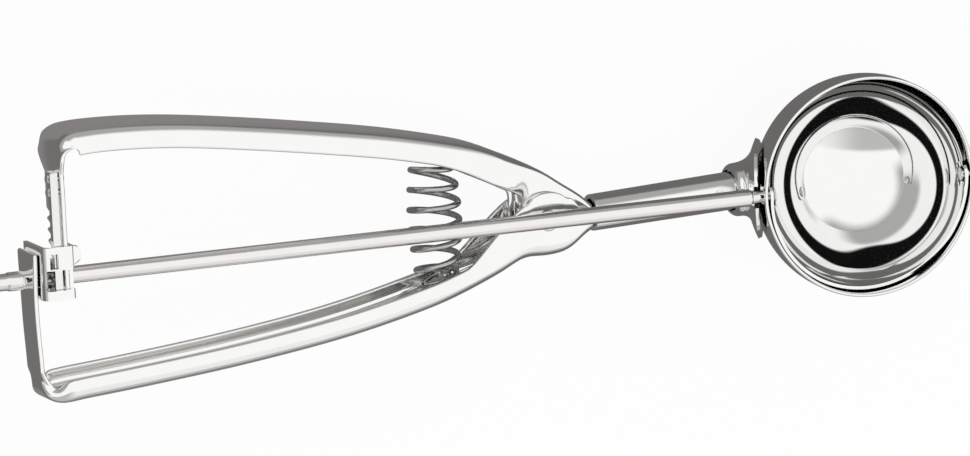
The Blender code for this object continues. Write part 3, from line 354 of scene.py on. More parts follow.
@dataclass
class Workshop:
    """Makes objects from skins and hands them to the frame's bodies."""

    materials: dict[str, bpy.types.Material]
    slots: dict[str, str] = field(default_factory=lambda: {"rack_steel": "gear_steel"})

    def settle(self, node: str, skin: Skin, slot: str, body: str, sharp: float = 40.0,
               sheet: float = 0.0, bevel: float = 0.0) -> bpy.types.Object:
        """Make one piece that stands for a node of the frame.

        Args:
            node: the frame's node.
            skin: the piece's surface, in metres.
            slot: the record's material slot.
            body: the body that it rides on.
            sharp: the angle in degrees past which an edge is sharp.
            sheet: the thickness that an open skin gets, or 0 for a closed one.
            bevel: the width of the rounding of sharp edges, or 0.

        Returns:
            The piece.
        """
        faces = [*map(tuple, skin.quads.tolist()), *map(tuple, skin.fans.tolist())]
        mesh = bpy.data.meshes.new(f"{node}_form")
        mesh.from_pydata(skin.points.tolist(), [], faces)
        mesh.shade_smooth()
        thing = bpy.data.objects.new(f"{node}_form", mesh)
        bpy.context.scene.collection.objects.link(thing)
        mesh.materials.append(self.materials[slot])
        if sheet:
            wall = thing.modifiers.new("sheet", "SOLIDIFY")
            wall.thickness = sheet
            wall.offset = -1.0
            wall.use_even_offset = True
        if bevel:
            edge = thing.modifiers.new("edge", "BEVEL")
            edge.width = bevel
            edge.segments = 3
            edge.limit_method = "ANGLE"
            edge.angle_limit = math.radians(sharp)
            edge.harden_normals = True
        else:
            mesh.set_sharp_from_angle(angle=math.radians(sharp))
        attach(thing, body)
        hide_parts(node)
        LOG.info("%s: %d points", node, len(skin.points))
        return thing


@dataclass
class HingeFrame:
    """The frame of the two handles: its origin on the hinge, its Z along the hinge's axis."""

    hinge: np.ndarray
    tilt: float

    @classmethod
    def from_record(cls) -> "HingeFrame":
        """Read the hinge's place and axis from the record's joint."""
        joint = next(j for j in frame["joints"] if j["name"] == "squeeze")
        axis = joint["axis"]
        return cls(np.array(joint["pos_m"], float), math.atan2(axis[0], axis[2]))

    def turn(self) -> np.ndarray:
        """Give the matrix of a turn about Y by the tilt."""
        c, s = math.cos(self.tilt), math.sin(self.tilt)
        return np.array([[c, 0, s], [0, 1, 0], [-s, 0, c]])

    def world(self, points: np.ndarray) -> np.ndarray:
        """Carry points to the scoop's frame: the turn, then the hinge's place."""
        return np.asarray(points, float) @ self.turn().T + self.hinge

    def local(self, points: np.ndarray) -> np.ndarray:
        """Carry points from the scoop's frame: the same shift and turn undone."""
        return (np.asarray(points, float) - self.hinge) @ self.turn()


HINGES = HingeFrame.from_record()


@dataclass
class GearStack:
    """The rack, pinion, washer and rod at the handles' rear end."""

    grip: float = 0.1222
    plate: float = 0.0009
    module: float = 0.0008
    teeth: int = 9
    addendum_share: float = 0.8
    dedendum_share: float = 1.15
    pressure: float = math.radians(25)
    flank_foot: float = 0.985
    backlash: float = 0.00034
    face: float = 0.0031
    washer_radius: float = 0.0026
    washer: float = 0.0012
    washer_roundings: tuple[float, ...] = (0.0001, 0.0002, 0.0002, 0.0001)
    rack_sheet: float = 0.0018
    overhang: float = 0.0004
    rack_back: float = 0.0016
    rack_length: float = 0.0272
    rack_below: float = 0.0031
    rack_gaps: int = 8
    rounding: float = 0.00012
    rivet_radius: float = 0.0006
    rivet_head: float = 0.0009
    rivet_rise: float = 0.0002
    rivet_inset: float = 0.0016
    rivet_spacing: float = 0.0030
    chamfer: float = 0.00012

    def __post_init__(self) -> None:
        """Work out the stack along the rod, in the order in which it is assembled."""
        self.pitch_radius = self.module * self.teeth / 2
        self.pitch = math.pi * self.module
        self.addendum = self.addendum_share * self.module
        self.dedendum = self.dedendum_share * self.module
        tilt = HINGES.tilt
        self.rear_plate = -self.grip + HANDLE_SHEET + GAP
        self.rear_inner = self.rear_plate + self.plate
        lean = (self.pitch_radius + self.addendum) * math.tan(tilt)
        self.pinion_rear = HINGES.hinge[0] + self.rear_inner * math.cos(tilt) + GAP + lean
        self.pinion_front = self.pinion_rear + self.face
        self.washer_rear = self.pinion_front + GAP
        touch = HINGES.local(np.array([self.pinion_front, 0.0, self.pitch_radius]))
        self.front = touch[0] + self.overhang
        self.rear = self.front - self.rack_sheet
        self.leg = self.front + GAP
        self.front_inner = self.leg + HANDLE_SHEET + GAP
        self.contact = np.array([(self.rear + self.front) / 2, touch[1], touch[2]])
        self.tip = self.contact[2] - self.addendum
        self.back = self.contact[2] + self.dedendum + self.rack_back
        self.low = self.contact[1] - self.rack_below
        self.high = self.low + self.rack_length

    def involute(self, radius: np.ndarray, base: float) -> np.ndarray:
        """Give the involute's polar angle: tan roll less roll, where cos roll = base / radius."""
        roll = np.arccos(np.minimum(base / radius, 1.0))
        return np.tan(roll) - roll

    def pinion_skin(self) -> Skin:
        """Extrude the pinion: involute flanks between two circles, edges drawn in at both ends.

        Returns:
            The closed skin.
        """
        base = self.pitch_radius * math.cos(self.pressure)
        tip = self.pitch_radius + self.addendum
        root = self.pitch_radius - self.dedendum
        half_tooth = (self.pitch / 2 - self.backlash / 2) / self.pitch_radius / 2
        half_at_base = half_tooth + float(self.involute(np.array(self.pitch_radius), base))
        below_base = base * self.flank_foot
        flank = np.concatenate([[root, below_base], np.linspace(base, tip, 7)[1:]])
        turn = half_at_base - self.involute(flank, base)
        radius = np.concatenate([flank, flank[::-1]])
        middle = np.pi / 2 + 2 * np.pi * np.arange(self.teeth)[:, None] / self.teeth
        angle = (middle + np.concatenate([-turn, turn[::-1]])[None, :]).ravel()
        radius = np.tile(radius, self.teeth)
        inset = self.chamfer
        x = self.pinion_rear + np.array([0.0, inset, self.face - inset, self.face])
        reach = radius[None, :] - np.array([inset, 0.0, 0.0, inset])[:, None]
        along = np.broadcast_to(x[:, None], reach.shape)
        return carried(np.stack([along, reach * np.cos(angle), reach * np.sin(angle)], -1))

    def washer_skin(self) -> Skin:
        """Turn the washer: a ring of square section with its outer edges rounded."""
        hole = ROD_RADIUS + GAP
        outer, thick = self.washer_radius, self.washer
        corners = np.array([[0.0, hole], [0.0, outer], [thick, outer], [thick, hole]])
        profile = softened(corners, self.washer_roundings, closed=True)
        return turned(profile, (self.washer_rear, 0, 0), (1, 0, 0), 64, looped=True)

    def rack_skin(self) -> Skin:
        """Carry a rounded rectangle up the rack: one side has wedge-shaped gaps a pitch apart.

        Returns:
            The closed skin, in the scoop's frame.
        """
        slope = math.tan(self.pressure)
        at_pitch = self.pitch / 4 + self.backlash / 2
        number = np.arange(self.rack_gaps)[:, None] - 1
        across = np.array([
            -(at_pitch + self.addendum * slope), -(at_pitch - self.dedendum * slope),
            at_pitch - self.dedendum * slope, at_pitch + self.addendum * slope])
        y = (self.contact[1] + number * self.pitch + across[None, :]).ravel()
        z = np.tile(self.contact[2] + np.array([-1.0, 0, 0, -1.0]) * self.addendum
                    + np.array([0, 1.0, 1.0, 0]) * self.dedendum, self.rack_gaps)
        edge = self.rounding
        first, last = self.low + edge, self.high - edge
        cuts = y[(y > first) & (y < last)]
        stations = np.concatenate([[self.low, first], cuts, [last, self.high]])
        tooth = np.interp(stations, y, z)
        pull = np.zeros(len(stations))
        pull[[0, -1]] = edge
        corner = np.linspace(0, np.pi / 2, 4)
        quarter = np.concatenate([corner, corner + np.pi / 2, corner + np.pi, corner + 1.5 * np.pi])
        east = np.repeat([1.0, -1.0, -1.0, 1.0], 4)
        north = np.repeat([1.0, 1.0, -1.0, -1.0], 4)
        wide = ((self.front - self.rear) / 2 - pull - edge)[:, None]
        tall = ((self.back - tooth) / 2 - pull - edge)[:, None]
        x = (self.rear + self.front) / 2 + east * wide + edge * np.cos(quarter)
        level = ((self.back + tooth) / 2)[:, None] + north * tall + edge * np.sin(quarter)
        rings = np.stack([x, np.broadcast_to(stations[:, None], x.shape), level], -1)
        return carried(HINGES.world(rings))

    def rivet_skin(self, height: float) -> Skin:
        """Turn one rack rivet: a shank with a low domed head at each end.

        Args:
            height: the rivet's place up the rack.

        Returns:
            The closed skin, in the scoop's frame.
        """
        z = (self.tip + self.back) / 2
        start = self.rear - GAP - self.rivet_rise
        end = self.leg + HANDLE_SHEET + GAP + self.rivet_rise
        length = end - start
        dome = np.linspace(0, np.pi / 2, 7)
        rise = self.rivet_rise * (1 - np.cos(dome))
        out = np.maximum(self.rivet_head * np.sin(dome), POLE)
        shank = [[x, self.rivet_radius] for x in (self.rivet_rise, length - self.rivet_rise)]
        far = np.stack([length - rise[::-1], out[::-1]], -1)
        profile = np.concatenate([np.stack([rise, out], -1), shank, far])
        ends = HINGES.world(np.array([[start, height, z], [end, height, z]]))
        return turned(profile, ends[0], ends[1] - ends[0], 32)

    def build(self, shop: Workshop) -> None:
        """Make the pinion, washer, rack and both rack rivets.

        Args:
            shop: what makes the objects.
        """
        shop.settle("pinion", self.pinion_skin(), "gear_steel", "scraper_shaft", 30)
        shop.settle("thrust_washer", self.washer_skin(), "gear_steel", "scraper_shaft")
        shop.settle("rack", self.rack_skin(), "rack_steel", "squeeze_lever")
        height = self.high - self.rivet_inset
        for name in ("rack_rivet_upper", "rack_rivet_lower"):
            shop.settle(name, self.rivet_skin(height), "rivet_steel", "squeeze_lever")
            height -= self.rivet_spacing


@dataclass
class GearBracket:
    """The bent bracket over the rack and pinion: two plates, a roof with a window, and a lug."""

    stack: GearStack
    rear_bend: float = 0.0024
    front_bend: float = 0.0012
    foot: float = 0.0042
    bottom: float = -0.0030
    top: float = 0.0087
    margins: tuple[float, float] = (0.0006, 0.0007)
    cell: float = 0.00045
    hole_cells: int = 4
    patch_cells: int = 6
    window: float = 0.0005
    slot: tuple[float, float, float, float] = (0.0015, 0.0034, 0.0039, 0.0073)
    lug_place: float = 0.0064
    lug_radius: float = 0.0022
    lug_drop: float = 0.0011
    lug_slope: float = 0.0006
    lug_inside: float = 0.0005
    rod_stretch: tuple[float, float] = (0.0105, 0.0205)
    edge: float = 0.00016

    def __post_init__(self) -> None:
        """Work out both plates, the roof and the grid's steps round a rod hole."""
        stack = self.stack
        self.rear, self.front = stack.rear_plate, stack.front_inner + stack.plate
        self.roof = stack.back + GAP + stack.plate
        self.patch = self.cell * np.arange(-self.patch_cells, self.patch_cells + 1)

    def profile(self, hole: np.ndarray) -> tuple[np.ndarray, np.ndarray]:
        """Trace the fold: up the rear plate, round a quarter circle, along the roof, round and down.

        Args:
            hole: the rod's place at the rear and the front plate, each (along, height).

        Returns:
            The fold's points (x, z), and for each 0 on the rear plate, 1 on the roof or 2 in front.
        """
        rear, front, roof = self.rear, self.front, self.roof
        up = np.concatenate([[-self.foot], hole[0] + self.patch, [roof - self.rear_bend]])
        low_roof = roof - 2 * self.stack.plate
        down = np.concatenate([[low_roof], (hole[1] + self.patch)[::-1], [-self.foot]])
        cut = math.acos(1 - self.window / self.rear_bend)
        turn = np.sort(np.append(np.linspace(0, np.pi / 2, 9)[1:], cut))
        bend = np.stack([rear + self.rear_bend * (1 - np.cos(turn)),
                         roof - self.rear_bend * (1 - np.sin(turn))], -1)
        back_turn = np.linspace(np.pi / 2, 0, 7)
        fold = np.stack([front - self.front_bend * (1 - np.cos(back_turn)),
                         roof - self.front_bend * (1 - np.sin(back_turn))], -1)
        level = np.sort([*(rear + np.array(self.slot[:2])), (rear + front) / 2])
        level = level[(level > rear + self.rear_bend) & (level < front - self.front_bend)]
        flat = np.stack([level, np.full(len(level), roof)], -1)
        points = np.concatenate([
            np.stack([np.full(len(up), rear), up], -1), bend, flat, fold,
            np.stack([np.full(len(down), front), down], -1)])
        part = np.repeat([0, 1, 2], [len(up), len(bend) + len(flat) + len(fold), len(down)])
        return points, part

    def rounded_hole(self, across: np.ndarray, up: np.ndarray) -> tuple[np.ndarray, np.ndarray]:
        """Ease the grid round the rod's hole: its square becomes a circle, the patch's edge stays.

        Args:
            across: distances from the rod's axis one way.
            up: distances from it the other way.

        Returns:
            Both, moved.
        """
        square = np.maximum(np.abs(across), np.abs(up))
        inner, outer = self.cell * self.hole_cells, self.cell * self.patch_cells
        share = np.clip((square - inner) / (outer - inner), 0, 1)
        tiny = 1e-9
        reach = np.maximum(np.hypot(across, up), tiny)
        radius = ROD_RADIUS + GAP
        scale = (radius / reach) * (1 - share) + (outer / np.maximum(square, tiny)) * share
        inside = square < outer - tiny
        return np.where(inside, across * scale, across), np.where(inside, up * scale, up)

    def skin(self) -> Skin:
        """Carry the fold across the bracket's height, and leave out the window, slot and rod holes.

        Returns:
            The open outer skin, which gets its thickness inwards.
        """
        rear, front = self.rear, self.front
        start, end = self.rod_stretch
        ends = HINGES.local(np.array([[start, 0, 0], [end, 0, 0]]))
        share = (np.array([rear, front]) - ends[0, 0]) / (ends[1, 0] - ends[0, 0])
        middle = ends[0] + (ends[1] - ends[0]) * share[:, None]
        line, part = self.profile(middle[:, 2])
        y = np.concatenate([[self.bottom, self.bottom + self.margins[0]], middle[0, 1] + self.patch,
                            self.slot[2:], [self.top - self.margins[1], self.top]])
        low, high = y[4], y[2 + 2 * self.patch_cells]
        x = np.meshgrid(line[:, 0], y, indexing="ij")[0]
        wide, z = np.repeat(y[None, :], len(line), 0), np.repeat(line[:, 1][:, None], len(y), 1)
        for number, spot in ((0, middle[0]), (2, middle[1])):
            across, up = self.rounded_hole(wide - spot[1], z - spot[2])
            on = (part == number)[:, None]
            wide, z = np.where(on, spot[1] + across, wide), np.where(on, spot[2] + up, z)
        points = np.stack([x, wide, z], -1).reshape(-1, 3)
        quads = grid_quads(*x.shape, False, False)
        i, j = np.divmod(quads[:, 0], x.shape[1])
        centre_x, centre_z = ((line[i, k] + line[i + 1, k]) / 2 for k in range(2))
        centre_y = (y[j] + y[j + 1]) / 2
        over = centre_z > self.roof - 2 * self.stack.plate
        window = over & (centre_x > rear + self.window) & (centre_y > low) & (centre_y < high)
        slot = (over & (centre_x > rear + self.slot[0]) & (centre_x < rear + self.slot[1])
                & (centre_y > self.slot[2]) & (centre_y < self.slot[3]))
        half = self.cell * self.hole_cells
        plate = np.where(centre_x < (rear + front) / 2, middle[0, 2], middle[1, 2])
        on_plate = (part[i] == part[i + 1]) & (part[i] != 1)
        away = np.maximum(np.abs(centre_y - middle[0, 1]), np.abs(centre_z - plate))
        hole = on_plate & (away < half)
        body = self.tidied(points, quads[~(window | slot | hole)])
        return self.facing_out(body, np.array([(rear + front) / 2, self.lug_place, 0.0]))

    def lug_skin(self) -> Skin:
        """Lay the lug: half a disc beyond the front plate, below the roof.

        Returns:
            The open outer skin.
        """
        v = np.linspace(-0.985, 0.985, 25)[:, None]
        u = np.linspace(0, 1, 8)[None, :]
        inside = self.lug_inside
        x = self.front - inside + (inside + self.lug_radius * np.sqrt(1 - v * v)) * u
        y = self.lug_place + self.lug_radius * v + 0 * u
        z = self.roof - self.lug_drop - self.lug_slope * u ** 2 + 0 * v
        points = np.stack([x, y, z], -1).reshape(-1, 3)
        below = np.array([self.front, self.lug_place, self.roof - 0.05])
        return self.facing_out(Skin(points, grid_quads(*x.shape, False, False)), below)

    @staticmethod
    def tidied(points: np.ndarray, quads: np.ndarray) -> Skin:
        """Drop the points that no face uses."""
        used, fresh = np.unique(quads, return_inverse=True)
        return Skin(points[used], fresh.reshape(quads.shape))

    @staticmethod
    def facing_out(skin: Skin, inside: np.ndarray) -> Skin:
        """Turn an open skin's faces away from a point, judged by the faces' summed facing."""
        a, b, _, d = (skin.points[skin.quads[:, k]] for k in range(4))
        facing = np.einsum("ij,ij->", np.cross(b - a, d - a), a - inside)
        return skin if facing > 0 else Skin(skin.points, skin.quads[:, ::-1])

    def build(self, shop: Workshop) -> None:
        """Make the bracket with its lug.

        Args:
            shop: what makes the objects.
        """
        both = self.skin().joined(self.lug_skin())
        placed = Skin(HINGES.world(both.points), both.quads)
        shop.settle("gear_bracket", placed, "handle_steel", "frame", 50,
                    sheet=self.stack.plate, bevel=self.edge)


@dataclass
class HandleLine:
    """The outer line of a handle's web, from its turned end to its nose, in the hinge's frame."""

    knots: list[tuple[float, float]]
    side: int
    lead: float = 0.0200
    spacing: float = 0.0004
    smoothing: float = 0.0010

    def __post_init__(self) -> None:
        """Sample the line evenly and find its foot, the place nearest to the hinge."""
        raw = self.through(np.array(self.knots, float), 40)
        run = self.distances(raw)
        count = int(round(run[-1] / self.spacing)) + 1
        even = np.linspace(0, run[-1], count)
        line = np.stack([np.interp(even, run, raw[:, k]) for k in range(2)], -1)
        self.points = self.eased(line)
        self.run = self.distances(self.points)
        nearest = int(np.argmin(np.linalg.norm(self.points, axis=1)))
        self.foot_run = float(self.run[nearest])
        self.crown = float(np.linalg.norm(self.points[nearest]))

    @staticmethod
    def distances(line: np.ndarray) -> np.ndarray:
        """Give each point's distance along a line: the running sum of its steps."""
        return np.concatenate([[0], np.cumsum(np.linalg.norm(np.diff(line, axis=0), axis=1))])

    @staticmethod
    def through(knots: np.ndarray, steps: int) -> np.ndarray:
        """Pass a centripetal curve through knots: three rounds of blending between neighbours.

        Args:
            knots: the points to pass through, shape (count, 2).
            steps: samples in each span.

        Returns:
            The curve's points.
        """
        ends = np.concatenate([[2 * knots[0] - knots[1]], knots, [2 * knots[-1] - knots[-2]]])
        a, b, c, d = (ends[k: len(ends) - 3 + k][:, None, :] for k in range(4))
        spans = np.stack([b - a, c - b, d - c])
        t1, t2, t3 = np.cumsum(np.sqrt(np.linalg.norm(spans, axis=-1, keepdims=True)), 0)
        t = t1 + (t2 - t1) * (np.arange(steps) / steps)[None, :, None]
        ab = a + (b - a) * t / t1
        bc = b + (c - b) * (t - t1) / (t2 - t1)
        cd = c + (d - c) * (t - t2) / (t3 - t2)
        abc = ab + (bc - ab) * t / t2
        bcd = bc + (cd - bc) * (t - t1) / (t3 - t1)
        curve = abc + (bcd - abc) * (t - t1) / (t2 - t1)
        return np.concatenate([curve.reshape(-1, 2), knots[-1:]])

    def eased(self, line: np.ndarray) -> np.ndarray:
        """Smooth an even line with a bell-shaped average, its ends carried on straight.

        Args:
            line: evenly spaced points.

        Returns:
            The smoothed points, as many as before.
        """
        reach = int(3 * self.smoothing / self.spacing)
        shift = np.arange(-reach, reach + 1) * self.spacing
        bell = np.exp(-0.5 * (shift / self.smoothing) ** 2)
        bell /= bell.sum()
        before = 2 * line[0] - line[reach:0:-1]
        after = 2 * line[-1] - line[-2:-reach - 2:-1]
        long = np.concatenate([before, line, after])
        return np.stack([np.convolve(long[:, k], bell, "valid") for k in range(2)], -1)

    def sample(self, run: np.ndarray) -> np.ndarray:
        """Give the line's points at distances along it."""
        return np.stack([np.interp(run, self.run, self.points[:, k]) for k in range(2)], -1)

    def inward(self, run: np.ndarray) -> np.ndarray:
        """Give the way into the channel: square to the line, and straight to the hinge at the ear.

        Args:
            run: distances along the line.

        Returns:
            Unit vectors, shape (count, 2).
        """
        small = 2 * self.spacing
        ahead, behind = np.minimum(run + small, self.run[-1]), np.maximum(run - small, 0)
        along = unit(self.sample(ahead) - self.sample(behind))
        square = np.stack([along[:, 1], -along[:, 0]], -1) * self.side
        to_hinge = -unit(self.sample(np.array([self.foot_run])))
        share = ease((run - self.foot_run + self.lead) / (0.7 * self.lead))[:, None]
        return unit(square + (to_hinge - square) * share)

    def height_at(self, x: float) -> tuple[float, float]:
        """Give the web's height and slope at a distance from the hinge.

        Args:
            x: the place along the grip.

        Returns:
            The height and the slope there.
        """
        grip = self.run > 0.35 * self.foot_run
        xs, ys = self.points[grip].T
        small = 0.0007
        here, beyond = np.interp([x, x + small], xs, ys)
        return float(here), float((beyond - here) / small)


@dataclass
class PressedHandle:
    """A handle pressed from one sheet: a channel with ears at the hinge."""

    line: HandleLine
    ear_half: float
    ear_radius: float
    half: float = 0.0075
    corner: float = 0.0034
    flange: float = 0.0048
    ear_ramp: float = 0.0200
    deeper: float = 0.0
    nose: float = 0.0020
    deeper_stretch: tuple[float, float] = (0.036, 0.018)
    least: float = 0.0002
    least_bend: float = 0.02

    def ear_depth(self, run: np.ndarray) -> np.ndarray:
        """Give a flange's depth: level along the grip, and round about the hinge at the ear.

        Args:
            run: distances along the line.

        Returns:
            How far the flange reaches in at each.
        """
        reach = run - self.line.foot_run
        edge = 0.8 * self.ear_radius
        held = np.clip(reach, -edge, edge)
        ear = self.line.crown + np.sqrt(self.ear_radius ** 2 - held ** 2)
        lead, ramp = self.deeper_stretch
        grip = self.flange + self.deeper * ease((reach + lead) / ramp)
        before = grip + (ear - grip) * ease((reach + self.ear_ramp) / (self.ear_ramp - edge))
        nose = self.line.run[-1] - self.line.foot_run
        after = self.nose + (ear - self.nose) * ease((nose - reach) / (nose - edge))
        return np.where(reach < 0, before, after)

    def section(self, run: np.ndarray) -> tuple[np.ndarray, ...]:
        """Give the section's low and high edge, flange depth, bend radius and bend angle."""
        raise NotImplementedError

    def skin(self) -> Skin:
        """Carry the section along the line: flat, bend and flange, offset both ways.

        The half section is flat to where the bend starts, then turns at an even radius by the bend
        angle, then runs straight to the edge. Rounded edges and ends come from the offset's half
        thickness falling as the sine of a quarter turn.

        Returns:
            The closed skin, in the scoop's frame.
        """
        round_off = np.linspace(0, np.pi / 2, 6)
        tip = HANDLE_SHEET / 2 * (1 - np.cos(round_off))[:-1]
        middle_run = np.linspace(HANDLE_SHEET / 2, self.line.run[-1] - HANDLE_SHEET / 2, 430)
        run = np.concatenate([tip, middle_run, self.line.run[-1] - tip[::-1]])
        grown = np.sin(round_off)[:-1]
        thin = np.concatenate([grown, np.ones(len(middle_run)), grown[::-1]])
        low, high, depth, corner, bend = (v[:, None] for v in self.section(run))
        half, middle = (high - low) / 2, (high + low) / 2
        strip = corner * np.pi / 2
        bend = np.maximum(bend, self.least_bend)
        radius = strip / bend
        flange = np.maximum(depth - corner, self.least)
        flat = half - radius * np.sin(bend) - flange * np.cos(bend)
        level = np.linspace(0, 1, 5)[None, :]
        arc = bend * np.linspace(0, 1, 12)[None, 1:]
        reach = np.linspace(0, 1, 6)[None, 1:]
        z = np.concatenate([
            flat * level, flat + radius * np.sin(arc),
            flat + radius * np.sin(bend) + flange * np.cos(bend) * reach], 1)
        deep = np.concatenate([
            0 * level * flat, radius * (1 - np.cos(arc)),
            radius * (1 - np.cos(bend)) + flange * np.sin(bend) * reach], 1)
        out_z = np.concatenate([0 * level * flat, np.sin(arc), np.sin(bend) + 0 * reach], 1)
        out_deep = np.concatenate([
            -1 + 0 * level * flat, -np.cos(arc), -np.cos(bend) + 0 * reach], 1)
        z, out_z = (np.concatenate([-half_row[:, :0:-1], half_row], 1) for half_row in (z, out_z))
        deep, out_deep = (
            np.concatenate([half_row[:, :0:-1], half_row], 1) for half_row in (deep, out_deep))
        along_z, along_deep = np.cos(bend), np.sin(bend)
        wall = HANDLE_SHEET / 2 * thin[:, None]
        mid_z, mid_deep = z - out_z * HANDLE_SHEET / 2, deep - out_deep * HANDLE_SHEET / 2
        turn = np.linspace(0, np.pi, 7)[None, 1:-1]

        def edge(column: int, sign: int) -> tuple[np.ndarray, np.ndarray]:
            """Round a flange's edge by half a turn about the sheet's middle."""
            nz, nd = out_z[:, [column]], out_deep[:, [column]]
            ahead = wall * np.sin(turn)
            return (
                mid_z[:, [column]] + wall * np.cos(turn) * nz + sign * ahead * along_z,
                mid_deep[:, [column]] + wall * np.cos(turn) * nd + ahead * along_deep,
            )

        far_z, far_deep = edge(-1, 1)
        near_z, near_deep = edge(0, -1)
        inner_z, inner_deep = mid_z - out_z * wall, mid_deep - out_deep * wall
        ring_z = np.concatenate([mid_z + out_z * wall, far_z, inner_z[:, ::-1], near_z[:, ::-1]], 1)
        ring_deep = np.concatenate([
            mid_deep + out_deep * wall, far_deep, inner_deep[:, ::-1], near_deep[:, ::-1]], 1)
        flat_points = (self.line.sample(run)[:, None, :]
                       + self.line.inward(run)[:, None, :] * ring_deep[..., None])
        rings = np.concatenate([flat_points, (middle + ring_z)[..., None]], -1)
        rows, columns, _ = rings.shape
        quads = self.end_quads(grid_quads(rows, columns, False, True), rows, columns)
        return Skin(HINGES.world(rings.reshape(-1, 3)), quads).outward()

    @staticmethod
    def end_quads(quads: np.ndarray, rows: int, columns: int) -> np.ndarray:
        """Close both ends of a folded sheet by joining its outer and inner lines.

        A ring is n outer points, 5 edge points, n inner points and 5 edge points, so outer point k
        faces inner point 2n + 4 - k.

        Args:
            quads: the grid's faces.
            rows: how many rings.
            columns: points in a ring.

        Returns:
            The grid's faces with both ends' faces.
        """
        n = (columns - 10) // 2
        k = np.arange(-3, n + 2)
        facing = 2 * n + 4 - k
        pair = np.stack([k, k + 1, facing - 1, facing], -1) % columns
        last = (rows - 1) * columns
        return np.concatenate([quads, pair[:, ::-1], pair + last])


@dataclass
class FixedHandle(PressedHandle):
    """The lower handle: tongue, heel, grip and two outer ears."""

    tongue: float = 0.0336
    tongue_half: float = 0.0044
    waist_half: float = 0.0037
    tongue_corner: float = 0.0006
    tongue_depth: float = 0.0014
    ear_lead: float = 0.0310
    ear_taper: float = 0.0220
    waist_share: float = 0.37
    bend_shares: tuple[float, float] = (0.77, 0.20)
    widen_shares: tuple[float, float] = (0.80, 0.36)

    @classmethod
    def laid_out(cls) -> "FixedHandle":
        """Set the fixed handle's line by its heel, crown and nose."""
        back, heel, crown, bend, nose = -0.1222, -0.0264, -0.0074, 0.0045, 0.0114
        deepest, ear_drop = 0.0065, 0.0009
        slope = (crown - heel) / (0.90 * -back)
        knots = [
            (back, 0.0072), (back, 0.24 * heel), (back + 0.09 * bend, 0.6 * heel),
            (back + 0.18 * bend, heel + 1.02 * bend), (back + 0.40 * bend, heel + 0.31 * bend),
            (back + bend, heel), (back + 2.44 * bend, heel + 0.07 * bend)]
        for share, sag in ((0.22, 0.51), (0.42, 0.84), (0.62, 1.0), (0.80, 0.86)):
            x = back * (1 - share)
            knots.append((x, heel + slope * (x - back) - sag * deepest))
        ear = ((-1.05, -0.26), (-0.44, 0.0), (0.04, -0.01), (0.46, 0.05), (0.88, 0.33), (1.0, 0.39))
        for reach, rise in ear:
            knots.append((reach * nose, crown + rise * nose - ear_drop))
        return cls(HandleLine(knots, -1), 0.0053, 0.0058)

    def section(self, run: np.ndarray) -> tuple[np.ndarray, ...]:
        """Narrow and flat up the tongue, a full channel along the grip, drawn in at the ears.

        Args:
            run: distances along the line.

        Returns:
            Low edge, high edge, flange depth, bend radius and bend angle at each.
        """
        bend, widen = (
            ease((run - self.tongue * start) / (self.tongue * stretch))
            for start, stretch in (self.bend_shares, self.widen_shares))
        waisted = ease(run / (self.tongue * self.waist_share))
        narrow = self.tongue_half + (self.waist_half - self.tongue_half) * waisted
        width = narrow + (self.half - narrow) * widen
        reach = run - self.line.foot_run
        drawn_in = ease((reach + self.ear_lead) / self.ear_taper)
        width = width + (self.ear_half - self.half) * drawn_in
        corner = self.tongue_corner + (self.corner - self.tongue_corner) * widen
        depth = self.tongue_depth + (self.ear_depth(run) - self.tongue_depth) * widen
        return -width, width, depth, corner, np.pi / 2 * bend


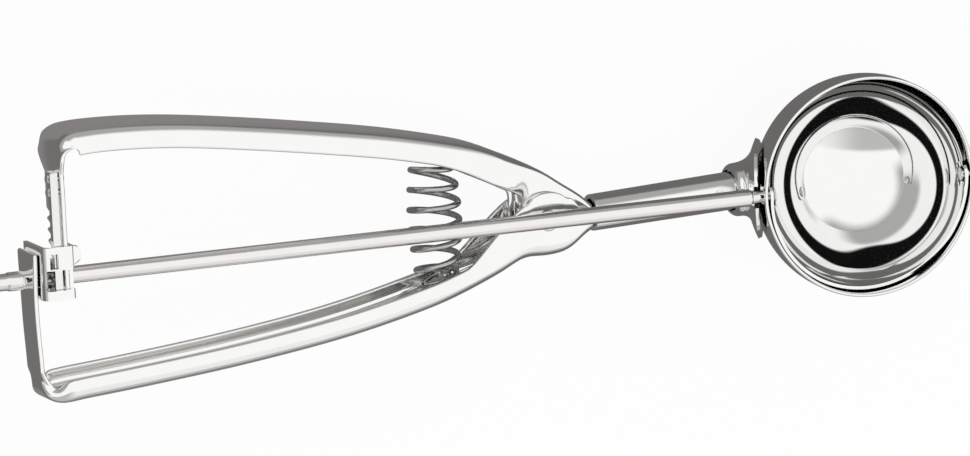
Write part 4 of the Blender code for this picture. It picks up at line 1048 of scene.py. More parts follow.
@dataclass
class SqueezeHandle(PressedHandle):
    """The upper handle: a leg that carries the rack, heel, grip and two inner ears."""

    stack: GearStack | None = None
    strip: float = 0.0028
    strip_corner: float = 0.0005
    strip_depth: float = 0.0008
    ear_corner: float = 0.0015
    fold_lead: float = 0.0068
    fold_ramp: float = 0.0055
    grow_ramp: float = 0.0078
    spread_lead: float = 0.0180
    spread_ramp: float = 0.0160
    widen_ramp: float = 0.0040
    ear_lead: float = 0.0200
    ear_taper: float = 0.0150
    crest: ClassVar[float] = 0.0340
    foot: ClassVar[float] = 0.0010

    @classmethod
    def laid_out(cls, stack: GearStack) -> "SqueezeHandle":
        """Set the moving handle's line by its leg, crest, crown and nose.

        Args:
            stack: the gear stack, which the leg stands before.

        Returns:
            The handle.
        """
        leg, crest, crown, bend, nose = stack.leg, cls.crest, 0.0105, 0.0045, 0.0114
        knots = [
            (leg, stack.low + cls.foot), (leg, 0.35 * crest), (leg, 0.62 * crest),
            (leg, crest - 1.38 * bend), (leg + 0.16 * bend, crest - 0.53 * bend),
            (leg + 0.58 * bend, crest - 0.13 * bend), (leg + 1.38 * bend, crest)]
        start, fall = knots[-1][0], crest - crown
        drops = ((0.10, 0.008), (0.21, 0.055), (0.36, 0.16), (0.52, 0.29), (0.66, 0.415),
                 (0.78, 0.550), (0.85, 0.645), (0.91, 0.765), (1.0, 0.99))
        for share, drop in drops:
            knots.append((start * (1 - share), crest - fall * drop))
        for reach, drop in ((0.38, 0.25), (0.79, 0.54), (1.05, 0.78)):
            knots.append((reach * nose, crown - drop * nose))
        line = HandleLine(knots, 1, lead=0.0120)
        return cls(
            line, 0.0039, 0.0052, flange=0.0052, ear_ramp=0.0092, deeper=0.0014, stack=stack)

    def section(self, run: np.ndarray) -> tuple[np.ndarray, ...]:
        """A narrow strip beside the rack, widening up the leg, a channel along the grip.

        Args:
            run: distances along the line.

        Returns:
            Low edge, high edge, flange depth, bend radius and bend angle at each.
        """
        stack = self.stack
        foot = stack.low + self.foot
        heel = run - (self.crest - foot)
        strip_low = stack.back - self.strip
        spread = ease((heel + self.spread_lead) / self.spread_ramp)
        low = strip_low - (strip_low + self.half) * spread
        widened = ease((run - (stack.high - foot)) / self.widen_ramp + 0.25)
        high = stack.back + (self.half - stack.back) * widened
        reach = run - self.line.foot_run
        narrowed = ease((reach + self.ear_lead) / self.ear_taper)
        taper = (self.ear_half - self.half) * narrowed
        bend = np.pi / 2 * ease((heel + self.fold_lead) / self.fold_ramp)
        grown = ease((heel + self.fold_lead) / self.grow_ramp)
        corner = (self.strip_corner + (self.corner - self.strip_corner) * grown
                  + (self.ear_corner - self.corner) * narrowed)
        depth = self.strip_depth + (self.ear_depth(run) - self.strip_depth) * grown
        return low - taper, high + taper, depth, corner, bend


@dataclass
class Hinge:
    """The rivet that passes through both pairs of ears."""

    radius: float = 0.0016
    head_radius: float = 0.0024
    head: float = 0.0006

    def skin(self) -> Skin:
        """Turn the rivet: a shank, and at each end a head whose height falls off as a dome.

        Returns:
            The closed skin, in the scoop's frame.
        """
        inner = TANG / 2 + 2 * (GAP + HANDLE_SHEET) + GAP
        t = np.linspace(0, 1, 12)
        out = np.maximum(self.head_radius * t, POLE)
        rise = self.head * np.sqrt(np.maximum(1 - t ** 4, 0.0))
        near = np.stack([-(inner + rise), out], -1)
        shank = np.array([[-inner, self.radius], [inner, self.radius]])
        profile = np.concatenate([near, shank, near[::-1] * [-1, 1]])
        axis = HINGES.world([[0, 0, 0], [0, 0, 1.0]])
        return turned(profile, axis[0], axis[1] - axis[0], 64)


@dataclass
class ReturnSpring:
    """The coil between the handles, and the two pegs that its ends sit on."""

    lower: HandleLine
    upper: HandleLine
    place: float = 0.0248
    wire: float = 0.0007
    end_radius: float = 0.0038
    middle_radius: float = 0.0055
    swelling: float = 1.2
    shift: float = -0.0008
    turns: float = 8.25
    dead_turns: float = 0.8
    dead_pitch: float = 0.0024
    peg_radius: float = 0.0026
    upper_peg_radius: float = 0.0014
    peg_height: float = 0.0030
    peg_roundings: tuple[float, ...] = (0.0, 0.0002, 0.0009, 0.0)
    held_end: float = -0.0147
    keep: float = 0.93

    def seat(self, line: HandleLine) -> tuple[float, float, float]:
        """Give a seat on a web's inner face: its height, slope and slant length.

        Args:
            line: the handle's line.

        Returns:
            Height, slope and slant.
        """
        height, slope = line.height_at(-self.place)
        slant = math.sqrt(1 + slope * slope)
        return height - line.side * HANDLE_SHEET * slant, slope, slant

    def coil_skin(self) -> Skin:
        """Carry a round wire along the coil: a barrel helix whose end turns lie on the webs.

        The radius swells as a power of a half sine, the pitch is small in the dead turns, and the
        wire's ring is the radial way and its cross product with the line's direction.

        Returns:
            The closed skin, in the scoop's frame.
        """
        low, low_slope, low_slant = self.seat(self.lower)
        high, high_slope, high_slant = self.seat(self.upper)
        bottom = low + (self.wire + GAP) * low_slant
        height = high - (self.wire + GAP) * high_slant - bottom
        turn = np.linspace(0, self.turns, int(self.turns * 64))
        dead = self.dead_turns * self.dead_pitch
        marks = [0, self.dead_turns, self.turns - self.dead_turns, self.turns]
        rise = np.interp(turn, marks, [0, dead, height - dead, height])
        swell = np.abs(np.sin(np.pi * turn / self.turns)) ** self.swelling
        radius = self.end_radius + (self.middle_radius - self.end_radius) * swell
        third = self.turns / 3
        near_top = ease((turn - self.turns) / (2 * third) + 1)
        slope = low_slope * (1 - ease(turn / third)) + high_slope * near_top
        angle = 2 * np.pi * turn
        x = radius * np.cos(angle)
        z = self.shift - radius * np.sin(angle)
        line = np.stack([x - self.place, bottom + rise + slope * x, z], -1)
        along = unit(np.gradient(line, axis=0))
        radial = np.stack([np.cos(angle), 0 * angle, -np.sin(angle)], -1)
        radial = unit(radial - along * np.einsum("ij,ij->i", radial, along)[:, None])
        beside = np.cross(along, radial)
        grown = np.sin(np.linspace(0, np.pi / 2, 6))[:-1] + 0.02
        thin = np.ones(len(turn))
        thin[:5], thin[-5:] = grown, grown[::-1]
        thick = self.wire * np.minimum(thin, 1.0)[:, None, None]
        spoke = np.linspace(0, 2 * np.pi, 16, endpoint=False)[None, :, None]
        ring = np.cos(spoke) * radial[:, None] + np.sin(spoke) * beside[:, None]
        return carried(HINGES.world(line[:, None] + thick * ring))

    def peg_skin(self, line: HandleLine) -> Skin:
        """Turn a peg: a plain shank with its top edge rounded.

        Args:
            line: the handle that the peg stands on.

        Returns:
            The closed skin, in the scoop's frame.
        """
        height, slope, _ = self.seat(line)
        inward = unit(np.array([slope, -1.0, 0.0])) * line.side
        foot = np.array([-self.place, height, self.shift]) + inward * GAP
        radius = self.peg_radius if line.side < 0 else self.upper_peg_radius
        tall = self.peg_height
        corners = np.array([[0, POLE], [0, radius], [tall, radius], [tall, POLE]])
        profile = softened(corners, self.peg_roundings, 8)
        ends = HINGES.world(np.stack([foot, foot + inward]))
        return turned(profile, ends[0], ends[1] - ends[0], 48)

    def build(self, shop: Workshop) -> None:
        """Make the coil and both pegs.

        Args:
            shop: what makes the objects.
        """
        coil = shop.settle("return_spring", self.coil_skin(), "spring_wire", "frame")
        foot = HINGES.world([[-self.place, 0.0, self.shift]])[0]
        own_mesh(coil)
        for name, line, body in (("lower_spring_peg", self.lower, "frame"),
                                 ("upper_spring_peg", self.upper, "squeeze_lever")):
            shop.settle(name, self.peg_skin(line), "rivet_steel", body)


@dataclass
class Bowl:
    """The turned bowl, the scraper inside it and the scraper's pivot."""

    centre: np.ndarray
    rim: float = 0.0030
    scraper_width: float = 0.0070
    scraper_ear: float = 0.0029
    widening: float = math.radians(40)
    rest: float = math.radians(9)
    pivot: float = 0.0010
    pivot_head: float = 0.0019
    pivot_rise: float = 0.0008
    peen: tuple[float, float] = (0.0005, 0.0017)
    edge: float = 0.00015

    def skin(self) -> Skin:
        """Turn the bowl: inner quarter circle, skirt, round rim, skirt and outer quarter circle.

        Returns:
            The closed skin.
        """
        inner = BOWL_RADIUS - BOWL_WALL
        angle = np.linspace(np.pi / 2, 0, 90)[:, None]
        quarter = np.concatenate([-np.sin(angle), np.maximum(np.cos(angle), 1e-4)], 1)
        half = BOWL_WALL / 2
        turn = np.linspace(0, np.pi, 9)[:, None]
        rim = np.concatenate([
            self.rim - half + half * np.sin(turn), BOWL_RADIUS - half - half * np.cos(turn)], 1)
        skirt = np.linspace(0, self.rim - half, 6)[1:-1, None]
        profile = np.concatenate([
            inner * quarter, np.concatenate([skirt, inner + 0 * skirt], 1), rim,
            np.concatenate([skirt[::-1], BOWL_RADIUS + 0 * skirt], 1), BOWL_RADIUS * quarter[::-1]])
        return turned(profile, self.centre, (0, 0, 1), 180)

    def scraper_skin(self) -> Skin:
        """Lay the scraper's strip on a sphere: half a turn from pole to pole, an ear round each.

        Returns:
            The open skin, which gets its thickness inwards.
        """
        outer = BOWL_RADIUS - BOWL_WALL - SCRAPER_CLEARANCE
        ear = self.scraper_ear / outer
        half = self.scraper_width / 2 / outer
        end = 0.985 * ear
        down = np.array([0.0, -math.cos(self.rest), -math.sin(self.rest)])
        across = np.array([0.0, math.sin(self.rest), -math.cos(self.rest)])
        spread = (1 - np.cos(np.linspace(0, np.pi, 150))) / 2
        turn = -end + (np.pi + 2 * end) * spread
        from_pole = np.minimum(turn, np.pi - turn)
        rounded = np.sqrt(np.maximum(ear * ear - np.minimum(from_pole, 0) ** 2, 1e-9))
        widened = ear + (half - ear) * ease(from_pole / self.widening)
        width = np.where(from_pole < 0, rounded, widened)
        middle = -np.cos(turn)[:, None] * [1.0, 0, 0] + np.sin(turn)[:, None] * down
        lean = width[:, None] * np.linspace(-1, 1, 13)[None, :]
        way = middle[:, None] * np.cos(lean)[..., None] + across * np.sin(lean)[..., None]
        points = (self.centre + way * outer).reshape(-1, 3)
        quads = grid_quads(*lean.shape, False, False)
        a, b, d = points[quads[0, 0]], points[quads[0, 1]], points[quads[0, 3]]
        if np.dot(np.cross(b - a, d - a), a - self.centre) < 0:
            quads = quads[:, ::-1]
        return Skin(points, quads)

    def pivot_skin(self) -> Skin:
        """Turn the pivot: a shank through the wall, a domed head outside and a peened end inside.

        Returns:
            The closed skin.
        """
        wall = BOWL_RADIUS + GAP
        inside = BOWL_RADIUS - BOWL_WALL - SCRAPER_CLEARANCE - SCRAPER_SHEET - GAP
        t = np.linspace(0, np.pi / 2, 8)
        rise, out = self.peen
        peen = np.stack([inside - rise * np.cos(t), np.maximum(out * np.sin(t), POLE)], -1)
        head = np.stack([
            wall + self.pivot_rise * np.cos(t), np.maximum(self.pivot_head * np.sin(t), POLE)], -1)
        shank = [[inside, self.pivot], [wall, self.pivot]]
        profile = np.concatenate([peen, shank, head[::-1]])
        return turned(profile, self.centre, (1, 0, 0), 48)

    def build(self, shop: Workshop) -> None:
        """Make the bowl, the scraper and its pivot.

        Args:
            shop: what makes the objects.
        """
        shop.settle("bowl", self.skin(), "bowl_steel", "frame")
        shop.settle("scraper", self.scraper_skin(), "bowl_steel", "scraper_shaft", 50,
                    sheet=SCRAPER_SHEET, bevel=self.edge)
        shop.settle("scraper_pivot", self.pivot_skin(), "rivet_steel", "frame")


@dataclass
class NeckAndSaddle:
    """The neck tube with its flat tang, and the flared saddle on the bowl's wall."""

    bowl_centre: np.ndarray
    start: float = 0.0125
    length: float = 0.0358
    offset: float = -0.0006
    rise: float = 0.0009
    rear_radius: float = 0.0041
    front_radius: float = 0.0043
    wall: float = 0.0010
    bore: float = 0.0080
    roundings: tuple[float, ...] = (0.0, 0.0008, 0.0003, 0.0003, 0.0006, 0.0)
    tang_chamfer: float = 0.0003
    tang_corner: float = 0.0012
    saddle_sheet: float = 0.0008
    hug: float = 0.0001
    socket: float = 0.0008
    spread: float = math.radians(27.5)
    top: float = math.radians(2)
    foot: float = math.radians(-56)
    bow: float = 0.0028
    swell: float = 0.50
    edge: float = 0.00015

    def axis(self) -> tuple[np.ndarray, np.ndarray]:
        """Give the neck's two ends in the scoop's frame."""
        ends = np.array([[self.start, self.offset, 0.0],
                         [self.start + self.length, self.offset + self.rise, 0.0]])
        first, last = HINGES.world(ends)
        return first, last

    def neck_skin(self) -> Skin:
        """Turn the tube with its open rear end, and add the tang, a plate with rounded corners.

        Returns:
            Two closed skins side by side.
        """
        first, last = self.axis()
        length = float(np.linalg.norm(last - first))
        hole = self.rear_radius - self.wall
        corners = np.array([
            [self.bore, POLE], [self.bore, hole], [0, hole], [0, self.rear_radius],
            [length, self.front_radius], [length, POLE]])
        profile = softened(corners, self.roundings, 8)
        tube = turned(profile, first, last - first, 96)
        plug = self.start + self.bore + 0.0005
        plate = [[-0.0045, -0.0050], [0.0036, -0.0050], [0.0105, -0.0018], [plug, -0.0018],
                 [plug, 0.0006], [0.0105, 0.0006], [0.0008, 0.0063], [-0.0045, 0.0063]]
        outline = softened(plate, self.tang_corner, 8, closed=True)
        middle = outline.mean(0)
        chamfer, half = self.tang_chamfer, TANG / 2
        z = np.array([-half, -half + chamfer, half - chamfer, half])
        pull = unit(middle - outline) * chamfer
        flat = outline[None] + pull[None] * np.array([1.0, 0, 0, 1.0])[:, None, None]
        rings = np.concatenate([flat, np.broadcast_to(z[:, None, None], (*flat.shape[:2], 1))], -1)
        return tube.joined(carried(HINGES.world(rings)))

    def saddle_skin(self) -> Skin:
        """Flare the socket's ring to an oval patch on the bowl, along a cubic curve each way.

        Returns:
            The open outer skin, which gets its thickness inwards.
        """
        first, mouth = self.axis()
        along = unit(mouth - first)
        rear = mouth - along * self.socket
        side = unit(np.array([0.0, 1.0, 0.0]) - along * along[1])
        up = unit(np.cross(side, -along))
        up = up if up[2] > 0 else -up
        ring_radius = self.front_radius + self.hug + self.saddle_sheet
        seat = BOWL_RADIUS + self.hug + self.saddle_sheet
        turn = np.linspace(0, 2 * np.pi, 128, endpoint=False)
        ring = np.cos(turn)[:, None] * side + np.sin(turn)[:, None] * up
        middle, rise = (self.top + self.foot) / 2, (self.top - self.foot) / 2

        def on_bowl(spread: float) -> np.ndarray:
            """Give points of an oval on the bowl's wall."""
            azimuth = self.spread * spread * np.cos(turn)
            height = middle + rise * spread * np.sin(turn)
            flat = np.cos(height)
            way = np.stack([-flat * np.cos(azimuth), flat * np.sin(azimuth), np.sin(height)], -1)
            return self.bowl_centre + way * seat

        root = mouth + ring * ring_radius
        edge, inner = on_bowl(1.0), on_bowl(self.swell)
        bow = root + along * self.bow
        lift = edge + (inner - edge) * 0.9
        t = np.linspace(0, 1, 40)[1:, None, None]
        flare = ((1 - t) ** 3 * root + 3 * t * (1 - t) ** 2 * bow
                 + 3 * t ** 2 * (1 - t) * lift + t ** 3 * edge)
        away = flare - self.bowl_centre
        distance = np.linalg.norm(away, axis=-1, keepdims=True)
        flare = np.where(distance < seat, self.bowl_centre + away / distance * seat, flare)
        reach = np.linspace(0, 1, 10)[:, None, None]
        drawn_in = 1 - np.sqrt(np.clip(1 - (1 - reach) ** 2, 0, 1))
        tucked = ring_radius - 0.9 * self.saddle_sheet * drawn_in
        collar = rear + (mouth - rear) * reach + ring[None] * tucked
        rows = np.concatenate([collar, flare])
        quads = grid_quads(*rows.shape[:2], False, True)
        centres = rows.reshape(-1, 3)[quads].mean(1) - self.bowl_centre
        half = ROD_RADIUS + GAP
        notch = (np.abs(centres[:, 1]) < half) & (centres[:, 2] > -half)
        return Skin(rows.reshape(-1, 3), quads[~notch][:, ::-1])

    def build(self, shop: Workshop) -> None:
        """Make the neck and the saddle.

        Args:
            shop: what makes the objects.
        """
        shop.settle("neck", self.neck_skin(), "handle_steel", "frame")
        shop.settle("bowl_saddle", self.saddle_skin(), "handle_steel", "frame", 50,
                    sheet=self.saddle_sheet, bevel=self.edge)


@dataclass
class DriveRod:
    """The long rod: staked stub, shank, reduced tip and riveted end."""

    bowl_centre: np.ndarray
    tip_radius: float = 0.0014
    tip_length: float = 0.0026
    stake_radius: float = 0.0021
    stake: tuple[float, float] = (0.0065, 0.0095)
    step: float = 0.0004
    head: tuple[float, float, float] = (0.0005, 0.0020, 0.0016)

    def skin(self) -> Skin:
        """Turn the rod from its stations, with every edge rounded.

        Returns:
            The closed skin.
        """
        wall = self.bowl_centre[0] - BOWL_RADIUS
        shoulder = wall - self.tip_length
        inside = wall + BOWL_WALL + SCRAPER_CLEARANCE + SCRAPER_SHEET + GAP
        first, last = self.stake
        rise, wide, narrow = self.head
        stations = np.array([
            [0, POLE], [0, ROD_RADIUS], [first - self.step, ROD_RADIUS], [first, self.stake_radius],
            [last, self.stake_radius], [last + self.step, ROD_RADIUS], [shoulder, ROD_RADIUS],
            [shoulder + self.step, self.tip_radius], [inside, self.tip_radius], [inside, wide],
            [inside + rise, narrow], [inside + rise, POLE]])
        roundings = np.array([0, 4, 3, 2, 2, 3, 3, 2, 1, 2, 2, 0]) * 1e-4
        return turned(softened(stations, roundings, 5), (0, 0, 0), (1, 0, 0), 64)


@dataclass
class Wiring:
    """Adds shader nodes that each do one sum."""

    tree: bpy.types.NodeTree

    def feed(self, node: bpy.types.Node, values: tuple) -> None:
        """Fill a node's inputs in order.

        Args:
            node: the node.
            values: for each input, a number, a vector or another node's output.
        """
        for socket, value in zip(node.inputs, values):
            if isinstance(value, bpy.types.NodeSocket):
                self.tree.links.new(value, socket)
            else:
                socket.default_value = value

    def sum(self, operation: str, *values: float | bpy.types.NodeSocket) -> bpy.types.NodeSocket:
        """Add a math node.

        Args:
            operation: the node's operation.
            values: its inputs.

        Returns:
            Its output.
        """
        node = self.tree.nodes.new("ShaderNodeMath")
        node.operation = operation
        self.feed(node, values)
        return node.outputs[0]

    def times(self, *values: float | bpy.types.NodeSocket) -> bpy.types.NodeSocket:
        """Multiply two values."""
        return self.sum("MULTIPLY", *values)

    def less(self, *values: float | bpy.types.NodeSocket) -> bpy.types.NodeSocket:
        """Take the second value from the first."""
        return self.sum("SUBTRACT", *values)

    def larger(self, *values: float | bpy.types.NodeSocket) -> bpy.types.NodeSocket:
        """Keep the larger of two values."""
        return self.sum("MAXIMUM", *values)

    def dot(self, vector: bpy.types.NodeSocket, way: Vector) -> bpy.types.NodeSocket:
        """Give a vector's share along a fixed way: their dot product."""
        node = self.tree.nodes.new("ShaderNodeVectorMath")
        node.operation = "DOT_PRODUCT"
        self.feed(node, (vector, tuple(way)))
        return node.outputs["Value"]

    def slide(self, value: bpy.types.NodeSocket, levels: Slide) -> bpy.types.NodeSocket:
        """Carry a value smoothly from one level to another.

        Args:
            value: what is read.
            levels: where the slide starts and ends, and the level before and after it.

        Returns:
            The level.
        """
        node = self.tree.nodes.new("ShaderNodeMapRange")
        node.interpolation_type = "SMOOTHSTEP"
        self.feed(node, (value, *levels))
        return node.outputs["Result"]

    def both(self, value: bpy.types.NodeSocket, levels: Slide, other: bpy.types.NodeSocket,
             other_levels: Slide) -> bpy.types.NodeSocket:
        """Multiply two slides."""
        return self.times(self.slide(value, levels), self.slide(other, other_levels))


@dataclass
class Studio:
    """Pale table, white room with soft grey flags, and a camera at the photograph's angle.

    Each slide is where it starts and ends, and the level before and after it.
    """

    table_drop: float = 0.0006
    table_reach: float = 3.0
    table_white: float = 0.94
    card_rise: float = 0.0003
    card_reach: float = 1.6
    card_tint: tuple[float, float, float] = (1.0, 0.955, 0.94)
    card_to_bowl: Slide = (0.08, 0.17, 0.235, 0.15)
    card_to_tongue: Slide = (0.004, 0.016, 0.17, 1.0)
    card_again: Slide = (0.065, 0.105, 0.72, 0.15)
    card_far: Slide = (0.2, 1.2, 0.0, 0.55)
    card_south: Slide = (0.04, 0.20, 0.0, 0.55)
    second: Slide = (1.2, 1.8, 0.0, 1.0)
    ring_centre: float = 0.10
    ring_lean: tuple[float, float] = (0.8, 0.6)
    upper_ring: Slide = (0.62, 0.80, 0.0, 0.60)
    upper_side: Slide = (-0.05, 0.25, 0.0, 1.0)
    lower_wall: Slide = (-0.64, -0.56, 0.48, 0.0)
    lower_fade: Slide = (0.0, 0.7, 1.0, 0.22)
    corner_ring: Slide = (0.66, 0.80, 0.0, 0.55)
    corner_side: Slide = (-0.60, -0.25, 1.0, 0.0)
    far_edge: tuple[Slide, Slide] = ((0.02, 0.14, 0.88, 0.0), (0.2, 0.5, 0.0, 1.0))
    near_edge: tuple[Slide, Slide] = ((0.0, 0.26, 0.60, 0.0), (-0.5, -0.2, 1.0, 0.0))
    flag_centre: tuple[float, float] = (0.05, -0.08)
    flag_half: tuple[float, float] = (0.185, 0.58)
    flag_rim: Slide = (0.7, 1.35, 1.0, 0.0)
    flag_front: Slide = (0.0, 0.2, 0.0, 1.0)
    flag_depth: Slide = (2.2, 2.8, 0.995, 0.84)
    diffuse_light: float = 0.75
    lamp_size: tuple[float, float] = (1.6, 1.0)
    lamp_watts: float = 5.0
    lamp_place: tuple[float, float, float] = (0.3, -0.25, 1.3)
    lamp_target: tuple[float, float, float] = (0.11, 0.0, 0.0)
    target: tuple[float, float, float] = (0.1065, 0.0, 0.0)
    distance: float = 2.3
    yaw: float = 18.4185
    pitch: float = 11.0630
    roll: float = -2.8187
    focal_px: float = 10437.29
    centre_px: tuple[float, float] = (442.264, 232.653)
    frame_px: tuple[int, int] = (970, 456)
    sensor: float = 36.0

    def __post_init__(self) -> None:
        """Work out the camera's axes: back towards it, across the picture and up the picture."""
        yaw, pitch, roll = (math.radians(v) for v in (self.yaw, self.pitch, self.roll))
        level = math.cos(pitch)
        self.back = Vector((-math.sin(yaw) * level, math.sin(pitch), math.cos(yaw) * level))
        right = Vector((0.0, 1.0, 0.0)).cross(self.back).normalized()
        up = self.back.cross(right)
        self.across = math.cos(roll) * right + math.sin(roll) * up
        self.above = -math.sin(roll) * right + math.cos(roll) * up

    def build(self) -> None:
        """Set the table, the card, the lamp, the room and the camera."""
        low = min(corner[2] for corner in CAD_BOX) - self.table_drop
        self.table(low)
        self.card(low)
        self.lamp()
        self.surroundings()
        self.camera()
        bpy.context.scene.view_settings.view_transform = "Standard"

    def sheet(self, name: str, height: float,
              reach: float) -> tuple[bpy.types.Object, bpy.types.NodeTree]:
        """Lay a level square sheet.

        Args:
            name: the sheet's name.
            height: its height.
            reach: half its width.

        Returns:
            The sheet and its material's nodes.
        """
        mesh = bpy.data.meshes.new(name)
        corners = [(x * reach, y * reach, height) for x, y in ((-1, -1), (1, -1), (1, 1), (-1, 1))]
        mesh.from_pydata(corners, [], [(0, 1, 2, 3)])
        thing = bpy.data.objects.new(name, mesh)
        bpy.context.scene.collection.objects.link(thing)
        material = bpy.data.materials.new(name)
        material.use_nodes = True
        mesh.materials.append(material)
        return thing, material.node_tree

    def table(self, low: float) -> None:
        """Lay a pale table that keeps a faint shadow.

        Args:
            low: its height.
        """
        _, tree = self.sheet("pale_table", low, self.table_reach)
        shader = tree.nodes["Principled BSDF"]
        shader.inputs["Base Color"].default_value = (0.9, 0.9, 0.9, 1.0)
        shader.inputs["Roughness"].default_value = 1.0
        white = tree.nodes.new("ShaderNodeEmission")
        light = tree.nodes.new("ShaderNodeLightPath")
        share = Wiring(tree).times(light.outputs["Is Camera Ray"], self.table_white)
        mix = tree.nodes.new("ShaderNodeMixShader")
        Wiring(tree).feed(mix, (share, shader.outputs[0], white.outputs[0]))
        tree.links.new(mix.outputs[0], tree.nodes["Material Output"].inputs["Surface"])

    def card(self, low: float) -> None:
        """Lay a grey card on the table that only metal shows, paler far out and to the south.

        Args:
            low: the table's height.
        """
        card, tree = self.sheet("grey_card", low + self.card_rise, self.card_reach)
        card.visible_camera = card.visible_diffuse = False
        card.visible_shadow = card.visible_transmission = False
        tree.nodes.remove(tree.nodes["Principled BSDF"])
        glow = tree.nodes.new("ShaderNodeEmission")
        place = tree.nodes.new("ShaderNodeTexCoord").outputs["Object"]
        depth = tree.nodes.new("ShaderNodeLightPath").outputs["Glossy Depth"]
        wiring = Wiring(tree)
        far = tree.nodes.new("ShaderNodeVectorMath")
        far.operation = "DISTANCE"
        wiring.feed(far, (place, (*self.target[:2], low)))
        along = wiring.dot(place, Vector((1.0, 0.0, 0.0)))
        south = wiring.dot(place, Vector((0.0, -1.0, 0.0)))
        near = wiring.slide(along, self.card_to_bowl)
        near = wiring.sum("MINIMUM", near, wiring.slide(along, self.card_to_tongue))
        again, twice = wiring.slide(depth, self.second), wiring.slide(along, self.card_again)
        near = wiring.sum("ADD", near, wiring.times(again, wiring.less(twice, near)))
        level = wiring.larger(near, wiring.slide(far.outputs["Value"], self.card_far))
        level = wiring.larger(level, wiring.slide(south, self.card_south))
        tree.links.new(level, glow.inputs["Strength"])
        glow.inputs["Color"].default_value = (*self.card_tint, 1.0)
        tree.links.new(glow.outputs[0], tree.nodes["Material Output"].inputs["Surface"])

    def lamp(self) -> None:
        """Hang one large soft lamp above the scoop."""
        lamp = bpy.data.lights.new("top_softbox", "AREA")
        lamp.shape = "RECTANGLE"
        lamp.size, lamp.size_y = self.lamp_size
        lamp.energy = self.lamp_watts
        thing = bpy.data.objects.new("top_softbox", lamp)
        thing.location = self.lamp_place
        thing.visible_glossy = False
        way = Vector(self.lamp_target) - thing.location
        thing.rotation_euler = way.to_track_quat("-Z", "Y").to_euler()
        bpy.context.scene.collection.objects.link(thing)

    def surroundings(self) -> None:
        """Light the room in white, with soft grey flags that only metal shows.

        The flags are written as levels over the ray's direction, taken across the picture, up the
        picture and back to the camera: slightly grey walls above and below, grey edges along the
        table, and a tall dark flag beside the camera, which shows where the bowl has reflected twice.
        """
        world = bpy.data.worlds.new("room")
        bpy.context.scene.world = world
        world.use_nodes = True
        tree = world.node_tree
        wiring = Wiring(tree)
        way = tree.nodes.new("ShaderNodeTexCoord").outputs["Generated"]
        light = tree.nodes.new("ShaderNodeLightPath").outputs
        axes = (self.across, self.above, self.back, (0.0, 0.0, 1.0), (0.0, 1.0, 0.0))
        across, above, back, height, north = (wiring.dot(way, Vector(axis)) for axis in axes)

        east = wiring.less(across, self.ring_centre)
        squares = wiring.sum("ADD", wiring.times(east, east), wiring.times(above, above))
        from_middle = wiring.sum("SQRT", squares)
        leftward = wiring.less(*(
            wiring.times(value, share) for value, share in zip((above, across), self.ring_lean)))
        upper = wiring.both(from_middle, self.upper_ring, leftward, self.upper_side)
        again = wiring.slide(light["Glossy Depth"], self.second)
        lower = wiring.both(above, self.lower_wall, across, self.lower_fade)
        corner = wiring.both(from_middle, self.corner_ring, leftward, self.corner_side)
        lower = wiring.times(lower, wiring.less(1.0, again))
        lower = wiring.sum("ADD", lower, wiring.times(corner, again))
        far_edge = wiring.both(height, self.far_edge[0], north, self.far_edge[1])
        near_edge = wiring.both(height, self.near_edge[0], north, self.near_edge[1])
        grey = wiring.larger(wiring.larger(upper, lower), wiring.larger(far_edge, near_edge))

        side, tall = (
            wiring.sum("DIVIDE", wiring.less(value, centre), half)
            for value, centre, half in zip((across, above), self.flag_centre, self.flag_half))
        apart = wiring.sum("ADD", *(
            wiring.sum("POWER", wiring.sum("ABSOLUTE", value), power)
            for value, power in ((side, 2.0), (tall, 4.0))))
        flag = wiring.both(apart, self.flag_rim, back, self.flag_front)
        faded = wiring.slide(light["Glossy Depth"], self.flag_depth)
        flag = wiring.times(flag, wiring.times(again, faded))
        shown = wiring.times(wiring.less(1.0, grey), wiring.less(1.0, flag))

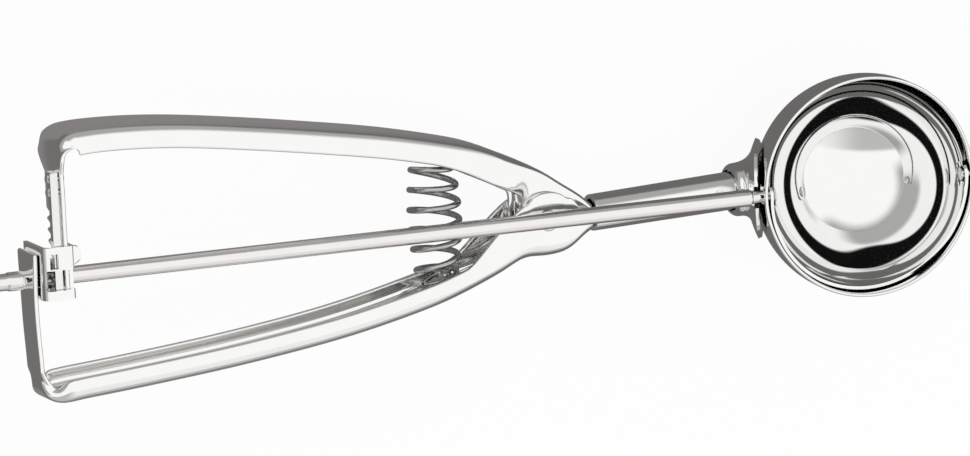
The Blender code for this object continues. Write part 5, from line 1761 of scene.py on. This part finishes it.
        metal = wiring.times(light["Is Glossy Ray"], shown)
        seen = wiring.larger(light["Is Camera Ray"], light["Is Transmission Ray"])
        other = wiring.less(1.0, wiring.larger(seen, light["Is Glossy Ray"]))
        other = wiring.times(other, self.diffuse_light)
        strength = wiring.sum("ADD", wiring.sum("ADD", seen, metal), other)
        tree.links.new(strength, tree.nodes["Background"].inputs["Strength"])
        tree.nodes["Background"].inputs["Color"].default_value = (1.0, 1.0, 1.0, 1.0)

    def camera(self) -> None:
        """Point the camera as the photograph's was."""
        lens = bpy.data.cameras.new("camera")
        lens.sensor_fit = "HORIZONTAL"
        lens.sensor_width = self.sensor
        wide, high = self.frame_px
        lens.lens = self.focal_px * self.sensor / wide
        lens.shift_x = (wide / 2 - self.centre_px[0]) / wide
        lens.shift_y = (self.centre_px[1] - high / 2) / wide
        lens.clip_start = 0.05
        lens.clip_end = 20.0
        thing = bpy.data.objects.new("camera", lens)
        place = Vector(self.target) + self.back * self.distance
        turn = Matrix((self.across, self.above, self.back)).transposed()
        thing.matrix_world = Matrix.Translation(place) @ turn.to_4x4()
        bpy.context.scene.collection.objects.link(thing)
        bpy.context.scene.camera = thing


def main() -> None:
    """Build and dress the scoop."""
    materials = {slot: finish.material() for slot, finish in FINISHES.items()}
    shop = Workshop(materials)
    low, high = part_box("bowl")
    bowl_centre = np.array([(low.x + high.x) / 2, 0.0, 0.0])
    stack = GearStack()
    fixed = FixedHandle.laid_out()
    squeeze = SqueezeHandle.laid_out(stack)
    shop.settle("fixed_handle", fixed.skin(), "handle_steel", "frame")
    shop.settle("squeeze_handle", squeeze.skin(), "handle_steel", "squeeze_lever")
    stack.build(shop)
    GearBracket(stack).build(shop)
    shop.settle("hinge_rivet", Hinge().skin(), "rivet_steel", "frame")
    ReturnSpring(fixed.line, squeeze.line).build(shop)
    Bowl(bowl_centre).build(shop)
    NeckAndSaddle(bowl_centre).build(shop)
    shop.settle("drive_rod", DriveRod(bowl_centre).skin(), "rod_steel", "scraper_shaft")
    Studio().build()
    LOG.info("boxes written")


if __name__ == "__main__":
    main()
